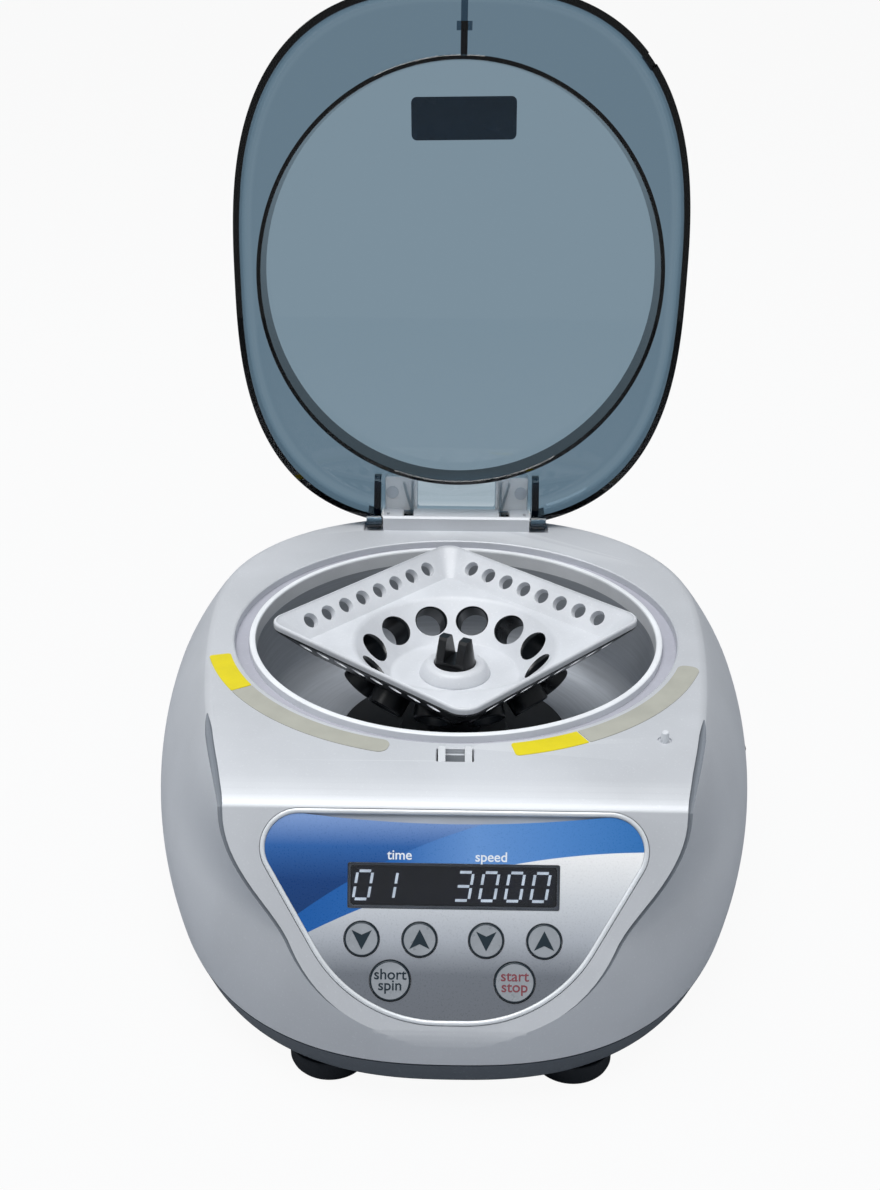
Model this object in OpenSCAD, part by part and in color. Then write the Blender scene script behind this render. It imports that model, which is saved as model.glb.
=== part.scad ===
// Tabletop microcentrifuge: egg-shaped housing with a flat deck and a sloping
// front, a round rotor chamber, a square combination rotor and a clear lid.
// Millimetres. The rotor axis is the Z axis and the table is z = 0.
// The operator stands at -Y. The lid is drawn open, as it rests.

/* [Housing] */
// Height of the flat deck above the table
deck_height = 90; // [88:0.5:94]
// Width of the deck beside the groove for the lid
deck_side = 10.05; // [8.55:0.05:11.55]
// How far the cheeks swell out below the deck
belly_swell = 20.1; // [17:0.1:22]
// Height of the widest part of the housing
belly_height = 41.4; // [38:0.2:45]
// How far the cheeks draw in from the widest part to the parting line
seam_in = 5.2; // [4.6:0.1:8]
// Height of the parting line between housing and tray
seam_height = 17; // [16:0.5:19]
// Length of the deck between the groove for the lid and the slope
deck_lead = 34.15; // [33.4:0.05:35.4]
// How far the nose reaches forward of the upper edge of the slope
nose_reach = 37.2; // [34.6:0.2:41]
// Length of the deck behind the lid pivot
deck_tail = 12.1; // [10.5:0.1:16]
// Angle between the sloping front and the vertical
front_slope = 32; // [30:1:34]
// Wall thickness of the housing and the tray
wall = 2.6; // [2.2:0.1:3]
// Height of the tray floor above the table
tray_lift = 8; // [7:0.5:9]

/* [Feet] */
// Diameter of a rubber foot
foot_d = 26; // [22:1:28]
// Distance of the feet from the centre plane
foot_x = 39; // [36:0.5:42]
// Distance of the front feet in front of the rotor axis
foot_front = 129.6; // [127:0.2:131]
// Distance of the rear feet behind the rotor axis
foot_back = 82; // [74:1:86]

/* [Chamber] */
// Inner diameter of the bowl
bowl_d = 145.8; // [144:0.2:147]
// Depth of the bowl floor below the deck
bowl_depth = 44; // [43:0.5:45]
// Width of the white sealing ring round the bowl
seal_w = 2.4; // [2:0.1:2.8]
// Width of the groove that the ring of the lid enters
groove_w = 5.15; // [5:0.05:6.2]
// Depth of that groove below the deck
groove_depth = 3; // [2.8:0.1:3.4]

/* [Rotor] */
// Side of the square rotor
rotor_side = 98; // [96:0.5:99]
// Radius of the corners of the rotor
rotor_corner_r = 7; // [6:0.5:9]
// Turn of the rotor from its diamond position
rotor_turn = 2.7; // [0:0.1:15]
// Height of the rotor rim above the strip sockets
rim_rise = 4; // [3.6:0.1:4.4]
// Distance of the strip sockets from the rotor axis
strip_row = 43.2; // [42.8:0.1:43.8]
// Distance between two sockets of a strip
strip_pitch = 9; // [8.6:0.1:9.2]
// Mouth diameter of a strip socket
strip_d = 6.2; // [5.6:0.1:6.6]
// Radius of the ring of tube sockets
tube_ring_r = 31; // [30.5:0.1:31.5]
// Diameter of a tube socket
tube_d = 11.2; // [10.4:0.1:11.6]
// Diameter of the raised boss in the middle
boss_d = 26.4; // [24:0.2:28]
// Diameter of the two-prong drive head
head_d = 15.4; // [14:0.2:16.6]
// Height of the drive head above the boss
head_rise = 10; // [8:0.5:12]
// Diameter of the motor shaft
shaft_d = 8; // [7:0.5:10]

/* [Lid] */
// Angle that the lid is open
lid_open = 96; // [92:1:97]
// How far the lid reaches beyond the groove at the sides
lid_side = 7.55; // [6.55:0.05:8.5]
// How far the lid reaches beyond the groove at the front
lid_lead = 21.15; // [20.05:0.05:21.55]
// Height of the lid plate above the deck when closed
lid_rise = 12.8; // [12:0.2:14]
// Thickness of the clear lid
lid_t = 2.4; // [2:0.1:2.6]
// Play between the ring under the lid and the outer wall of the groove
ring_play = 1.45; // [1.15:0.05:1.65]
// Width of the crossbar of the lid hook
hook_w = 5.6; // [5:0.1:5.8]

/* [Latch] */
// Width of the latch slot in the deck
slot_w = 11.8; // [11.6:0.1:12.4]
// Width of the throat between the two guide ears
throat_w = 6.1; // [6:0.1:6.6]
// How far the guide ears rise above the deck
guide_rise = 2; // [1.6:0.1:2.4]
// How far the bolt slides to hold the hook
bolt_travel = 3.4; // [2.8:0.1:3.6]

/* [Hinge] */
// Distance of the lid pivot behind the groove
pivot_back = 15.15; // [14.75:0.05:15.55]
// Height of the lid pivot above the deck
pivot_rise = 2.4; // [2.2:0.1:2.6]
// Diameter of the hinge pin
pin_d = 3; // [2.6:0.1:3.2]
// Width of the hinge tower
tower_w = 61; // [59:0.5:61.5]
// Height of the hinge tower above the deck
tower_rise = 6; // [5.6:0.1:6.2]

/* [Control panel] */
// Width of the panel across its top
panel_w = 117; // [113:0.5:118]
// Length of the panel down the slope
panel_h = 65.3; // [64.5:0.1:67]
// Width of the bright rim of the panel
rim_w = 1.6; // [1.2:0.1:2]
// Width of the display window
window_w = 63.8; // [60:0.2:66]
// Height of the display window
window_h = 13.4; // [12:0.1:14]
// Diameter of the four arrow keys
arrow_key_d = 10.6; // [9.6:0.1:11.4]
// Diameter of the two lower keys
run_key_d = 12.4; // [11:0.1:13]

/* [Hidden] */

eps = 0.01;
fit = 0.05;
gap = 0.3;
rings_n = 84;
widest_y = 18.7;
back_swell = 5;
lead_r = 6;
tray_in = 4;
screw_d = 3;

// The chamber sets the size of the deck: bowl, seal, groove, then deck and lid.
bowl_r = bowl_d / 2;
seal_r = bowl_r + seal_w;
groove_r = seal_r + groove_w;
pivot_y = groove_r + pivot_back;
lid_half_width = groove_r + lid_side;
lid_front = groove_r + lid_lead;
ring_r = groove_r - ring_play;
deck_half_width = groove_r + deck_side;
belly_half_width = deck_half_width + belly_swell;
seam_half_width = belly_half_width - seam_in;
lead_y = -(groove_r + deck_lead);
front_reach = nose_reach - lead_y;
back_reach = pivot_y + deck_tail;
bowl_floor = deck_height - bowl_depth;
// Colours of the pieces, as the photo shows them.
silver = [0.83, 0.84, 0.86];
dark_tray = [0.33, 0.34, 0.36];
rubber = [0.08, 0.08, 0.09];
off_white = [0.87, 0.88, 0.89];
smoke = [0.42, 0.5, 0.56, 0.55];
steel = [0.7, 0.71, 0.73];
black = [0.06, 0.06, 0.07];

// Signed power, for superellipse outlines.
function spow(v, p) = sign(v) * pow(abs(v), p);

// One closed outline of the housing: half width a, front reach f, back reach b.
function egg(a, f, b, nf, nb, z, n = rings_n) =
    [for (i = [0:n - 1]) let (c = cos(360 * i / n), s = sin(360 * i / n),
        e = s < 0 ? nf : nb)
        [a * spow(c, 2 / e), widest_y + (s < 0 ? f + widest_y : b - widest_y)
            * spow(s, 2 / e), z]];

// How the half width, the reaches and the squareness change with height.
function down(z) = min(1, max(0, (deck_height - z) / (deck_height - belly_height)));
function under(z) = min(1, max(0, (belly_height - z) / (belly_height - seam_height)));
function nose(z) = min(1, max(0, (deck_height - z) / (0.43 * deck_height)));
function foot(z) = min(1, max(0, (seam_height - z) / (seam_height - tray_lift)));
function half_w(z) = deck_half_width
    + (belly_half_width - deck_half_width) * (1 - pow(1 - down(z), 2))
    - (belly_half_width - seam_half_width) * pow(under(z), 2) - tray_in * foot(z);
function front(z) = front_reach + 0.5 * front_reach * pow(1 - nose(z), 2) - tray_in / 2 * foot(z);
function back(z) = back_reach + back_swell * (1 - pow(1 - down(z), 2)) - tray_in * foot(z);
function front_n(z) = 1.72 + 0.81 * min(1, (deck_height - z) / (deck_height - seam_height));
function body_ring(z, inset = 0) = egg(half_w(z) - inset, front(z) - inset,
    back(z) - inset, front_n(z), 2.32, z);

// Solid between outlines that all have the same number of points.
module loft(rings) {
    n = len(rings[0]);
    m = len(rings);
    sides = [for (k = [0:m - 2], i = [0:n - 1]) let (j = (i + 1) % n)
        each [[k * n + i, (k + 1) * n + i, (k + 1) * n + j],
              [k * n + i, (k + 1) * n + j, k * n + j]]];
    polyhedron([for (r = rings) each r],
        concat([[for (i = [0:n - 1]) i]], sides,
            [[for (i = [n - 1:-1:0]) (m - 1) * n + i]]));
}

// Points of one rounded corner at b, between a and c.
function unit(v) = v / norm(v);
function corner(a, b, c, r, n) =
    let (u = unit(a - b), w = unit(c - b), h = acos(u * w) / 2,
        o = b + unit(u + w) * r / sin(h), p = b + u * r / tan(h),
        t = cross([u[0], u[1]], [w[0], w[1]]) > 0 ? -1 : 1,
        q = atan2(p[1] - o[1], p[0] - o[0]))
        [for (i = [0:n]) o + r * [cos(q + t * i * (180 - 2 * h) / n),
            sin(q + t * i * (180 - 2 * h) / n)]];
// Outline with rounded corners, one radius for each corner.
function rounded(p, r, n = 6) = [for (i = [0:len(p) - 1])
    each corner(p[(i + len(p) - 1) % len(p)], p[i], p[(i + 1) % len(p)], r[i], n)];
function box_pts(w, h) = [[-w / 2, -h / 2], [w / 2, -h / 2], [w / 2, h / 2], [-w / 2, h / 2]];
module rounded_box(w, h, r, t) linear_extrude(t) polygon(rounded(box_pts(w, h), [r, r, r, r], 5));

// The sloping front: its plane starts at the lead point near the deck.
lead_z = deck_height - 3.6;
slope_tilt = 90 - front_slope;
module on_slope() translate([0, lead_y, lead_z]) rotate([slope_tilt, 0, 0]) children();
function slope_at(w) = [lead_y - w * sin(front_slope), lead_z - w * cos(front_slope)];

// Side view of the space that the housing may fill, moved in by inset.
function side_view(inset) =
    let (k = inset / cos(front_slope),
        top = deck_height - inset,
        y0 = lead_y + (top - lead_z) * tan(front_slope) + k,
        yf = -front_reach + inset,
        zf = lead_z - (lead_y + k - yf) / tan(front_slope))
        concat([[130, -10], [130, top]],
            corner([130, top], [y0, top], [yf, zf], lead_r, 6),
            corner([y0, top], [yf, zf], [yf, -10], 14, 6), [[yf, -10]]);
module side_block(inset) rotate([90, 0, 90]) translate([0, 0, -130])
    linear_extrude(260) polygon(side_view(inset));

// Levels of the outlines, closer together where the form turns quickly.
outer_steps = [0, 0.08, 0.17, 0.27, 0.38, 0.5, 0.61, 0.71, 0.8, 0.88, 0.94, 0.97, 0.99];
inner_steps = [-0.001, 0.1, 0.24, 0.4, 0.56, 0.72, 0.86, 0.95, 0.99];
module shell_form(inset, steps) intersection() {
    loft(concat([for (t = steps) body_ring(seam_height + t * (deck_height - seam_height), inset)],
        [body_ring(deck_height, inset + 1.2)]));
    side_block(inset);
}

// The crease between hood and cheek: a tapering groove down the edge of the slope.
function cheek_x(y, z) = half_w(z) * pow(1 - pow((widest_y - y) / (front(z) + widest_y),
    front_n(z)), 1 / front_n(z));
crease_side = concat([for (y = [lead_y + 48:-6:lead_y + 6]) [y, deck_height]],
    [for (t = [0.25:0.25:1]) [lead_y - 3 * t * t, deck_height - 1.2 - 5 * t]],
    [for (w = [7:6:60]) slope_at(w)]);
crease_path = [for (p = crease_side) [cheek_x(p[0], p[1]), p[0], p[1]]];
crease_n = len(crease_path);
function crease_ring(i) =
    let (p = crease_path[i], y = p[1], z = min(p[2], deck_height - 0.5), s = i / (crease_n - 1),
        t = unit(crease_path[min(i + 1, crease_n - 1)] - crease_path[max(i - 1, 0)]),
        out = unit([1, cheek_x(y - 0.5, z) - cheek_x(y + 0.5, z), cheek_x(y, z - 0.5) - cheek_x(y, z + 0.5)]),
        up = unit(cross(t, out)),
        r = 0.05 + 1.2 * min(1, s / 0.12) * pow(min(1, (1 - s) / 0.55), 0.8))
        [for (a = [0:45:315]) p - up * (0.9 * r + 0.3) + r * (out * (0.15 + cos(a)) + up * sin(a))];
module crease() loft([for (i = [0:crease_n - 1]) crease_ring(i)]);

// Chamber levels that follow from the deck and the groove.
groove_z = deck_height - groove_depth;
seal_top = deck_height - 0.4;
bowl_rim = groove_z - 3;
bowl_t = 1.8;
flange_z = bowl_rim - 1;
collar_r = groove_r + 3.6;
flange_r = groove_r - 2;
bowl_screw_r = flange_r - 1.8;
neck_r = shaft_d / 2 + 6;

// Lid, hinge and latch positions, given for the closed lid.
pivot_z = deck_height + pivot_rise;
plate_z = deck_height + lid_rise;
skirt_z = deck_height + 1.2;
ring_t = 1.5;
ring_z = groove_z + 0.8;
knuckle_r = pin_d / 2 + 1.6;
arm_x = 20;
arm_w = 4;
ear_in = tower_w / 2 + 0.8;
ear_w = 6.2;
hook_y = -(groove_r + 7.75);
hook_t = 3;
slot_back = hook_y + 4.3;
slot_l = 7.9;
hook_z = deck_height - 8;
bar_h = 2.5;
module as_open() translate([0, pivot_y, pivot_z]) rotate([-lid_open, 0, 0])
    translate([0, -pivot_y, -pivot_z]) children();

// Rotor levels, measured from the strip sockets.
strip_z = deck_height + 0.4;
rim_z = strip_z + rim_rise;
boss_r = boss_d / 2;
half_side = rotor_side / 2;
flat_z = strip_z - 5;
cone_r = 37.5;
cone_drop = 13.5;
floor_z = flat_z - cone_drop;
dish_r = cone_r - cone_drop;
boss_top = floor_z + 4.6;
head_top = boss_top + head_rise;
skin = 3.2;
hub_z = floor_z - skin;

// A square outline with rounded corners at height z.
function square_ring(s, z, r = rotor_corner_r) =
    [for (p = rounded(box_pts(2 * s, 2 * s), [r, r, r, r], 6)) [p[0], p[1], z]];

// Drive levels under the bowl.
drive_top = bowl_floor - 6;
plate_t = 3;
motor_h = min(21, drive_top - plate_t - tray_lift - wall - 5.4);
motor_z = drive_top - plate_t - motor_h;
post_top = drive_top - plate_t - 9;

// Places: base screws, safety pin and power switch.
function around(d, a) = (groove_r + d) * [cos(a), sin(a)];
post_places = [around(10.2, 40), around(10.2, 140), around(28.5, -59.7), around(28.5, -120.3)];
post_r = 5;
foot_places = [[foot_x, -foot_front], [-foot_x, -foot_front],
    [foot_x, foot_back], [-foot_x, foot_back]];
pin_x = around(21.96, -48.76)[0];
pin_y = around(21.96, -48.76)[1];
peg_d = 2.5;
board_x = belly_half_width - 48.6;
tower_screw_x = 25;
tower_screw_y = pivot_y + 3;
switch_y = 6;
switch_z = belly_height - 4.9;
switch_x = cheek_x(switch_y, switch_z);
switch_lean = atan((half_w(switch_z - 4) - half_w(switch_z + 4)) / 8);
switch_yaw = 1.2;
module on_cheek() translate([switch_x, switch_y, switch_z]) rotate([0, 0, -switch_yaw])
    rotate([0, -switch_lean, 0]) children();
inlet_z = 38;
inlet_y = back(inlet_z);

// Key places down the slope, from the lead point.
key_row = 39.2;
run_row = 51.8;
window_row = 22.9;
time_x = 18.9;
keys_at = [[-time_x - 8.8, key_row], [-time_x + 8.8, key_row], [time_x - 8.8, key_row],
    [time_x + 8.8, key_row], [-time_x, run_row], [time_x, run_row]];
stem_d = 4.6;
board_n = -12;

module base_tray() color(dark_tray) difference() {
    union() {
        difference() {
            loft([for (t = [0, 0.25, 0.6, 1]) body_ring(tray_lift + t * (seam_height - tray_lift),
                t == 0 ? 1 : 0)]);
            loft([for (t = [0, 0.4, 1.01]) body_ring(tray_lift + wall
                + t * (seam_height - tray_lift - wall), wall)]);
        }
        for (p = post_places) translate([p[0], p[1], tray_lift + 1])
            cylinder(r = post_r, h = seam_height + 2 - tray_lift - 1, $fn = 32);
        for (a = [90, 210, 330]) rotate(a) translate([34, 0, tray_lift + 1])
            cylinder(r = 6, h = post_top - tray_lift - 1, $fn = 32);
        for (x = [-board_x, board_x], y = [-44, 36]) translate([x - 4, y, tray_lift + 1])
            cube([8, 8, 9]);
    }
    for (p = post_places) translate([p[0], p[1], 0]) {
        cylinder(d = screw_d + 0.4, h = 30, $fn = 24);
        cylinder(d = 2 * screw_d + 1, h = tray_lift + 5, $fn = 24);
    }
    for (p = foot_places) translate([p[0], p[1], tray_lift - 3])
        cylinder(d = foot_d - 4 + 2 * fit, h = 4.2, $fn = 48);
    for (x = [-30:10:30]) translate([x - 2, -88, 0]) cube([4, 34, tray_lift + 4]);
}

module feet() color(rubber) for (p = foot_places) translate([p[0], p[1], 0]) {
    cylinder(d1 = foot_d - 3, d2 = foot_d, h = 1.5, $fn = 48);
    translate([0, 0, 1.5]) cylinder(d = foot_d, h = tray_lift - 1.5, $fn = 48);
    translate([0, 0, tray_lift]) cylinder(d = foot_d - 4, h = 1.2, $fn = 48);
}

module base_screws() color(steel) for (p = post_places) translate([p[0], p[1], tray_lift + 2.4]) {
    cylinder(d = 2 * screw_d, h = 2.6, $fn = 24);
    translate([0, 0, 2.6]) cylinder(d = screw_d, h = 15, $fn = 24);
}

module top_housing() color(silver) difference() {
    union() {
        difference() {
            shell_form(0, outer_steps);
            shell_form(wall, inner_steps);
        }
        for (p = post_places) translate([p[0], p[1], seam_height + 2])
            cylinder(r = post_r, h = deck_height - seam_height - 3, $fn = 32);
        translate([pin_x, pin_y, deck_height - 10]) cylinder(d = 9, h = 9, $fn = 32);
        for (s = [-1, 1]) translate([s * tower_screw_x, tower_screw_y, deck_height - 12])
            cylinder(d = 7, h = 11, $fn = 24);
        translate([-28, inlet_y - 6, inlet_z - 15]) cube([56, 3.7, 30]);
        on_cheek() translate([-5, -13, -9]) cube([3.4, 26, 18]);
    }
    translate([0, 0, groove_z]) cylinder(r = groove_r, h = 10, $fn = 96);
    crease();
    mirror([1, 0, 0]) crease();
    for (p = post_places) translate([p[0], p[1], seam_height])
        cylinder(d = screw_d + 2 * fit, h = 14, $fn = 24);
    translate([-slot_w / 2, slot_back - slot_l, deck_height - 20]) cube([slot_w, slot_l, 30]);
    translate([pin_x, pin_y, deck_height - 20]) cylinder(d = peg_d + 2 * fit, h = 30, $fn = 24);
    translate([pin_x, pin_y, deck_height - 20]) cylinder(d = 5, h = 20 - wall - 0.2, $fn = 24);
    translate([pin_x, pin_y, deck_height - 0.6]) cylinder(d = 4.4, h = 2, $fn = 24);
    for (s = [-1, 1]) {
        translate([s * (ear_in + ear_w / 2) - 4, pivot_y - 5.2, deck_height - 1.4]) cube([8, 9.4, 10]);
        translate([s * arm_x - arm_w / 2 - gap, pivot_y - 3.4, deck_height - 1.4])
            cube([arm_w + 2 * gap, 7.6, 10]);
    }
    on_slope() {
        translate([0, 0, -1.8]) linear_extrude(10) polygon(shield(0.15));
        translate([0, -window_row, -8]) rounded_box(window_w - 1, window_h - 1.2, 1, 10);
        for (k = keys_at) translate([k[0], -k[1], -12]) cylinder(d = stem_d + 1, h = 14, $fn = 24);
    }
    on_cheek() {
        translate([-9, -10.2, -6.2]) cube([12, 20.4, 12.4]);
        translate([-0.9, -11.6, -7.6]) cube([4, 23.2, 15.2]);
    }
    translate([-14.2, inlet_y - 8, inlet_z - 10.2]) cube([28.4, 20, 20.4]);
    translate([-25.1, inlet_y - 2.2, inlet_z - 12.1]) cube([50.2, 10, 24.2]);
    for (x = [30:9:66], s = [-1, 1]) translate([s * x - 1.5, inlet_y - 52, inlet_z - 10])
        cube([3, 60, 22]);
    for (s = [-1, 1]) translate([s * tower_screw_x, tower_screw_y, deck_height - 11])
        cylinder(d = 2.6, h = 20, $fn = 24);
}

// Ring under the deck: it carries the bowl and closes the groove from below.
module chamber_collar() color([0.78, 0.78, 0.81]) translate([0, 0, flange_z + 1]) difference() {
    cylinder(r = collar_r, h = deck_height - wall - flange_z - 1, $fn = 96);
    translate([0, 0, -1]) cylinder(r = seal_r, h = 20, $fn = 96);
    translate([0, 0, groove_z - flange_z - 1]) cylinder(r = groove_r, h = 10, $fn = 96);
}

// Outline of the control panel on the slope, grown by g.
function shield(g) = rounded([[-panel_w * 0.58 - 1.7 * g, 0.3 + g], [-panel_w * 0.255 - 0.6 * g,
    -panel_h - g], [panel_w * 0.255 + 0.6 * g, -panel_h - g], [panel_w * 0.58 + 1.7 * g, 0.3 + g]],
    [12 + g, 45 + g, 45 + g, 12 + g], 10);
// The printed film: its top edge dips in the middle.
module film_shape(g) difference() {
    polygon(shield(-rim_w - g));
    translate([0, 78 - 4.4 + 0.3 + max(g, 0) - min(g, 0)]) circle(r = 78, $fn = 180);
}
module panel_holes(g) {
    translate([0, -window_row]) square([window_w + 2 * g, window_h + 2 * g], center = true);
    for (i = [0:3]) translate([keys_at[i][0], -keys_at[i][1]]) circle(d = arrow_key_d + 2 * g, $fn = 40);
    for (i = [4:5]) translate([keys_at[i][0], -keys_at[i][1]]) circle(d = run_key_d + 2 * g, $fn = 40);
}

module panel_bezel() color([0.72, 0.74, 0.76]) on_slope() difference() {
    translate([0, 0, -1.8]) linear_extrude(2.2) polygon(shield(0));
    translate([0, 0, -0.9]) linear_extrude(3) film_shape(-fit);
    translate([0, 0, -3]) linear_extrude(5) panel_holes(gap);
}

module panel_film() color([0.45, 0.55, 0.72]) on_slope() translate([0, 0, -0.9])
    linear_extrude(0.8) difference() {
        film_shape(0);
        panel_holes(gap);
    }

module display_window() color([0.08, 0.12, 0.2]) on_slope() translate([0, -window_row, -1.75])
    rounded_box(window_w + 0.4, window_h + 0.4, 0.6, 1.75);

module display_module() color([0.12, 0.13, 0.15]) on_slope() translate([0, -window_row, -9.4]) {
    rounded_box(window_w - 1.6, window_h - 2, 1, 6.9);
    translate([0, 0, -1.6]) rounded_box(window_w + 2, window_h + 4, 1, 1.6);
}

// One seven-segment digit, w wide and h high, with the segments in on lit.
module digit(on, w = 4.6, h = 8.6, t = 0.8) multmatrix([[1, 0.16, 0, 0], [0, 1, 0, 0], [0, 0, 1, 0]])
    for (s = [[0, 0, h / 2, 0], [1, w / 2, h / 4, 1], [2, w / 2, -h / 4, 1], [3, 0, -h / 2, 0],
              [4, -w / 2, -h / 4, 1], [5, -w / 2, h / 4, 1], [6, 0, 0, 0]])
        if (on[s[0]] == 1) translate([s[1], s[2], 0])
            cube(s[3] == 1 ? [t, h / 2 - 1.1, 0.5] : [w - 1.1, t, 0.5], center = true);
zero = [1, 1, 1, 1, 1, 1, 0];
one = [0, 1, 1, 0, 0, 0, 0];
three = [1, 1, 1, 1, 0, 0, 1];
shown = [zero, one, three, zero, zero, zero];
digit_x = [-27.6, -20, 3, 10.8, 18.6, 26.4];
module display_digits() color([0.9, 0.95, 1]) on_slope() translate([0, -window_row, -2.24])
    for (i = [0:5]) translate([digit_x[i], 0, 0]) digit(shown[i]);

// A round key with a stem down to the key board.
module key(i, d) on_slope() translate([keys_at[i][0], -keys_at[i][1], 0]) {
    translate([0, 0, -1.2]) cylinder(d = d, h = 1.2, $fn = 40);
    translate([0, 0, 0]) cylinder(d1 = d, d2 = d - 0.8, h = 0.35, $fn = 40);
    translate([0, 0, board_n + 4.2]) cylinder(d = stem_d, h = -board_n - 5.4, $fn = 24);
}
module key_time_down() color(steel) key(0, arrow_key_d);
module key_time_up() color(steel) key(1, arrow_key_d);
module key_speed_down() color(steel) key(2, arrow_key_d);
module key_speed_up() color(steel) key(3, arrow_key_d);
module key_short_spin() color([0.62, 0.65, 0.68]) key(4, run_key_d);
module key_start_stop() color([0.64, 0.64, 0.62]) key(5, run_key_d);

module key_board() color([0.1, 0.32, 0.2]) on_slope() {
    translate([0, -key_row - 4.6, board_n]) rounded_box(76, 24, 2, 1.6);
    for (k = keys_at) translate([k[0] - 3, -k[1] - 3, board_n + 1.6]) cube([6, 6, 2]);
}

module chamber_bowl() color([0.3, 0.31, 0.33]) rotate_extrude($fn = 96) polygon(concat(
    [[neck_r, bowl_floor - 2], [bowl_r - 12, bowl_floor - 2]],
    [for (a = [-75:15:-15]) [bowl_r + bowl_t - 14 + 14 * cos(a), bowl_floor + 12 + 14 * sin(a)]],
    [[bowl_r + bowl_t, bowl_floor + 14], [bowl_r + bowl_t, flange_z - 2], [flange_r, flange_z - 2],
     [flange_r, flange_z + 1], [bowl_r + bowl_t, flange_z + 1], [bowl_r + bowl_t, bowl_rim],
     [bowl_r, bowl_rim], [bowl_r, bowl_floor + 14]],
    [for (a = [-15:-15:-75]) [bowl_r - 12 + 12 * cos(a), bowl_floor + 12 + 12 * sin(a)]],
    [[bowl_r - 14, bowl_floor], [neck_r + 12, bowl_floor], [neck_r + 10, bowl_floor + 3],
     [neck_r, bowl_floor + 3]]));

module chamber_seal() color(off_white) rotate_extrude($fn = 96) polygon([[bowl_r, bowl_rim],
    [seal_r, bowl_rim], [seal_r, seal_top - 0.5], [seal_r - 0.5, seal_top],
    [bowl_r + 0.5, seal_top], [bowl_r, seal_top - 0.5]]);

module shaft_seal() color(rubber) translate([0, 0, bowl_floor - 2]) difference() {
    cylinder(r = neck_r, h = 8, $fn = 48);
    translate([0, 0, -1]) cylinder(d = shaft_d + 0.6, h = 12, $fn = 48);
}

module bowl_screws() color(steel) for (a = [45:90:315]) rotate(a)
    translate([bowl_screw_r, 0, flange_z - 4]) cylinder(d = 3, h = 2, $fn = 24);

// Tilted frame at distance r from the axis: its z points down and outward.
module tilted(r, z) translate([r, 0, z]) rotate([0, 135, 0]) children();

module rotor() color(off_white) rotate(rotor_turn) difference() {
    union() {
        rotate(45) loft([square_ring(36, flat_z - 4.2, 5), square_ring(39.6, flat_z - 3.7),
            square_ring(half_side - 0.4, strip_z + 0.8), square_ring(half_side, strip_z + 1.4),
            square_ring(half_side, rim_z - 0.5), square_ring(half_side - 0.5, rim_z)]);
        translate([0, 0, hub_z]) cylinder(r1 = dish_r - 1.2, r2 = cone_r - 0.4,
            h = cone_drop - 1.6, $fn = 96);
        for (i = [0:11]) rotate(15 + 30 * i) tilted(tube_ring_r, strip_z - 12)
            cylinder(d = tube_d + 2.6, h = 9, $fn = 32);
    }
    rotate(45) loft([square_ring(39.2, flat_z + 0.0, 3), square_ring(39.2, flat_z + 0.6, 3),
        square_ring(39.4, flat_z + 0.62, 3), square_ring(39.4 + 8.4, flat_z + 9.02, 6.4),
        square_ring(39.4 + 8.4, rim_z + 1, 6.4)]);
    difference() {
        translate([0, 0, floor_z]) cylinder(r1 = dish_r, r2 = cone_r, h = cone_drop + eps, $fn = 96);
        translate([0, 0, floor_z - 1]) cylinder(r = boss_r, h = boss_top - floor_z + 1, $fn = 64);
    }
    translate([0, 0, hub_z - 1]) cylinder(d = head_d + 2 * fit, h = 30, $fn = 64);
    for (i = [0:11]) rotate(15 + 30 * i) tilted(tube_ring_r, strip_z - 12) translate([0, 0, -8])
        cylinder(d = tube_d, h = 30, $fn = 32);
    for (q = [0:3], k = [-3.5:3.5]) rotate(45 + 90 * q) translate([0, strip_pitch * k, 0])
        tilted(strip_row, strip_z) translate([0, 0, -0.6])
            cylinder(d1 = strip_d + 0.2, d2 = strip_d - 2.4, h = 8.4, $fn = 20);
}

// The hub carries the rotor; its head ends in two prongs that narrow upward.
prong_gap = 0.31 * head_d;
prong_foot = 0.34 * head_d;
prong_tip = 0.16 * head_d;
head_turn = -28.3;
module drive_hub() color(black) rotate(rotor_turn) difference() {
    union() {
        translate([0, 0, hub_z - 5]) cylinder(r = boss_r, h = 5, $fn = 48);
        translate([0, 0, hub_z - 1]) cylinder(d = head_d, h = boss_top - hub_z + 1, $fn = 48);
        intersection() {
            translate([0, 0, boss_top - 1])
                cylinder(d1 = head_d, d2 = 0.78 * head_d, h = head_rise + 1, $fn = 48);
            rotate(head_turn) translate([-head_d, 0, boss_top - 1]) rotate([90, 0, 90])
                linear_extrude(2 * head_d) polygon([[-prong_foot, 0], [prong_foot, 0],
                    [prong_foot - 0.2, 3], [prong_tip + 0.2, head_rise], [prong_tip - 0.6, head_rise + 1],
                    [0.6 - prong_tip, head_rise + 1], [-prong_tip - 0.2, head_rise],
                    [0.2 - prong_foot, 3]]);
        }
    }
    rotate(head_turn) translate([-prong_gap / 2, -head_d, boss_top + 1.4])
        cube([prong_gap, 2 * head_d, head_rise + 10]);
    translate([0, 0, hub_z - 6]) cylinder(d = shaft_d + 0.04, h = boss_top - hub_z + 4, $fn = 48);
}

module motor_shaft() color(steel) translate([0, 0, motor_z + 2])
    cylinder(d = shaft_d, h = boss_top - 3 - motor_z - 2, $fn = 48);

module motor_body() color([0.25, 0.26, 0.28]) translate([0, 0, motor_z]) difference() {
    union() {
        cylinder(d = 46, h = motor_h, $fn = 64);
        translate([0, 0, -2]) cylinder(d = 22, h = 3, $fn = 48);
        for (a = [0:30:330]) rotate(a) translate([22, -1, 2]) cube([2, 2, motor_h - 4]);
    }
    translate([0, 0, 1.9]) cylinder(d = shaft_d + 2 * fit, h = 40, $fn = 48);
}

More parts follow.
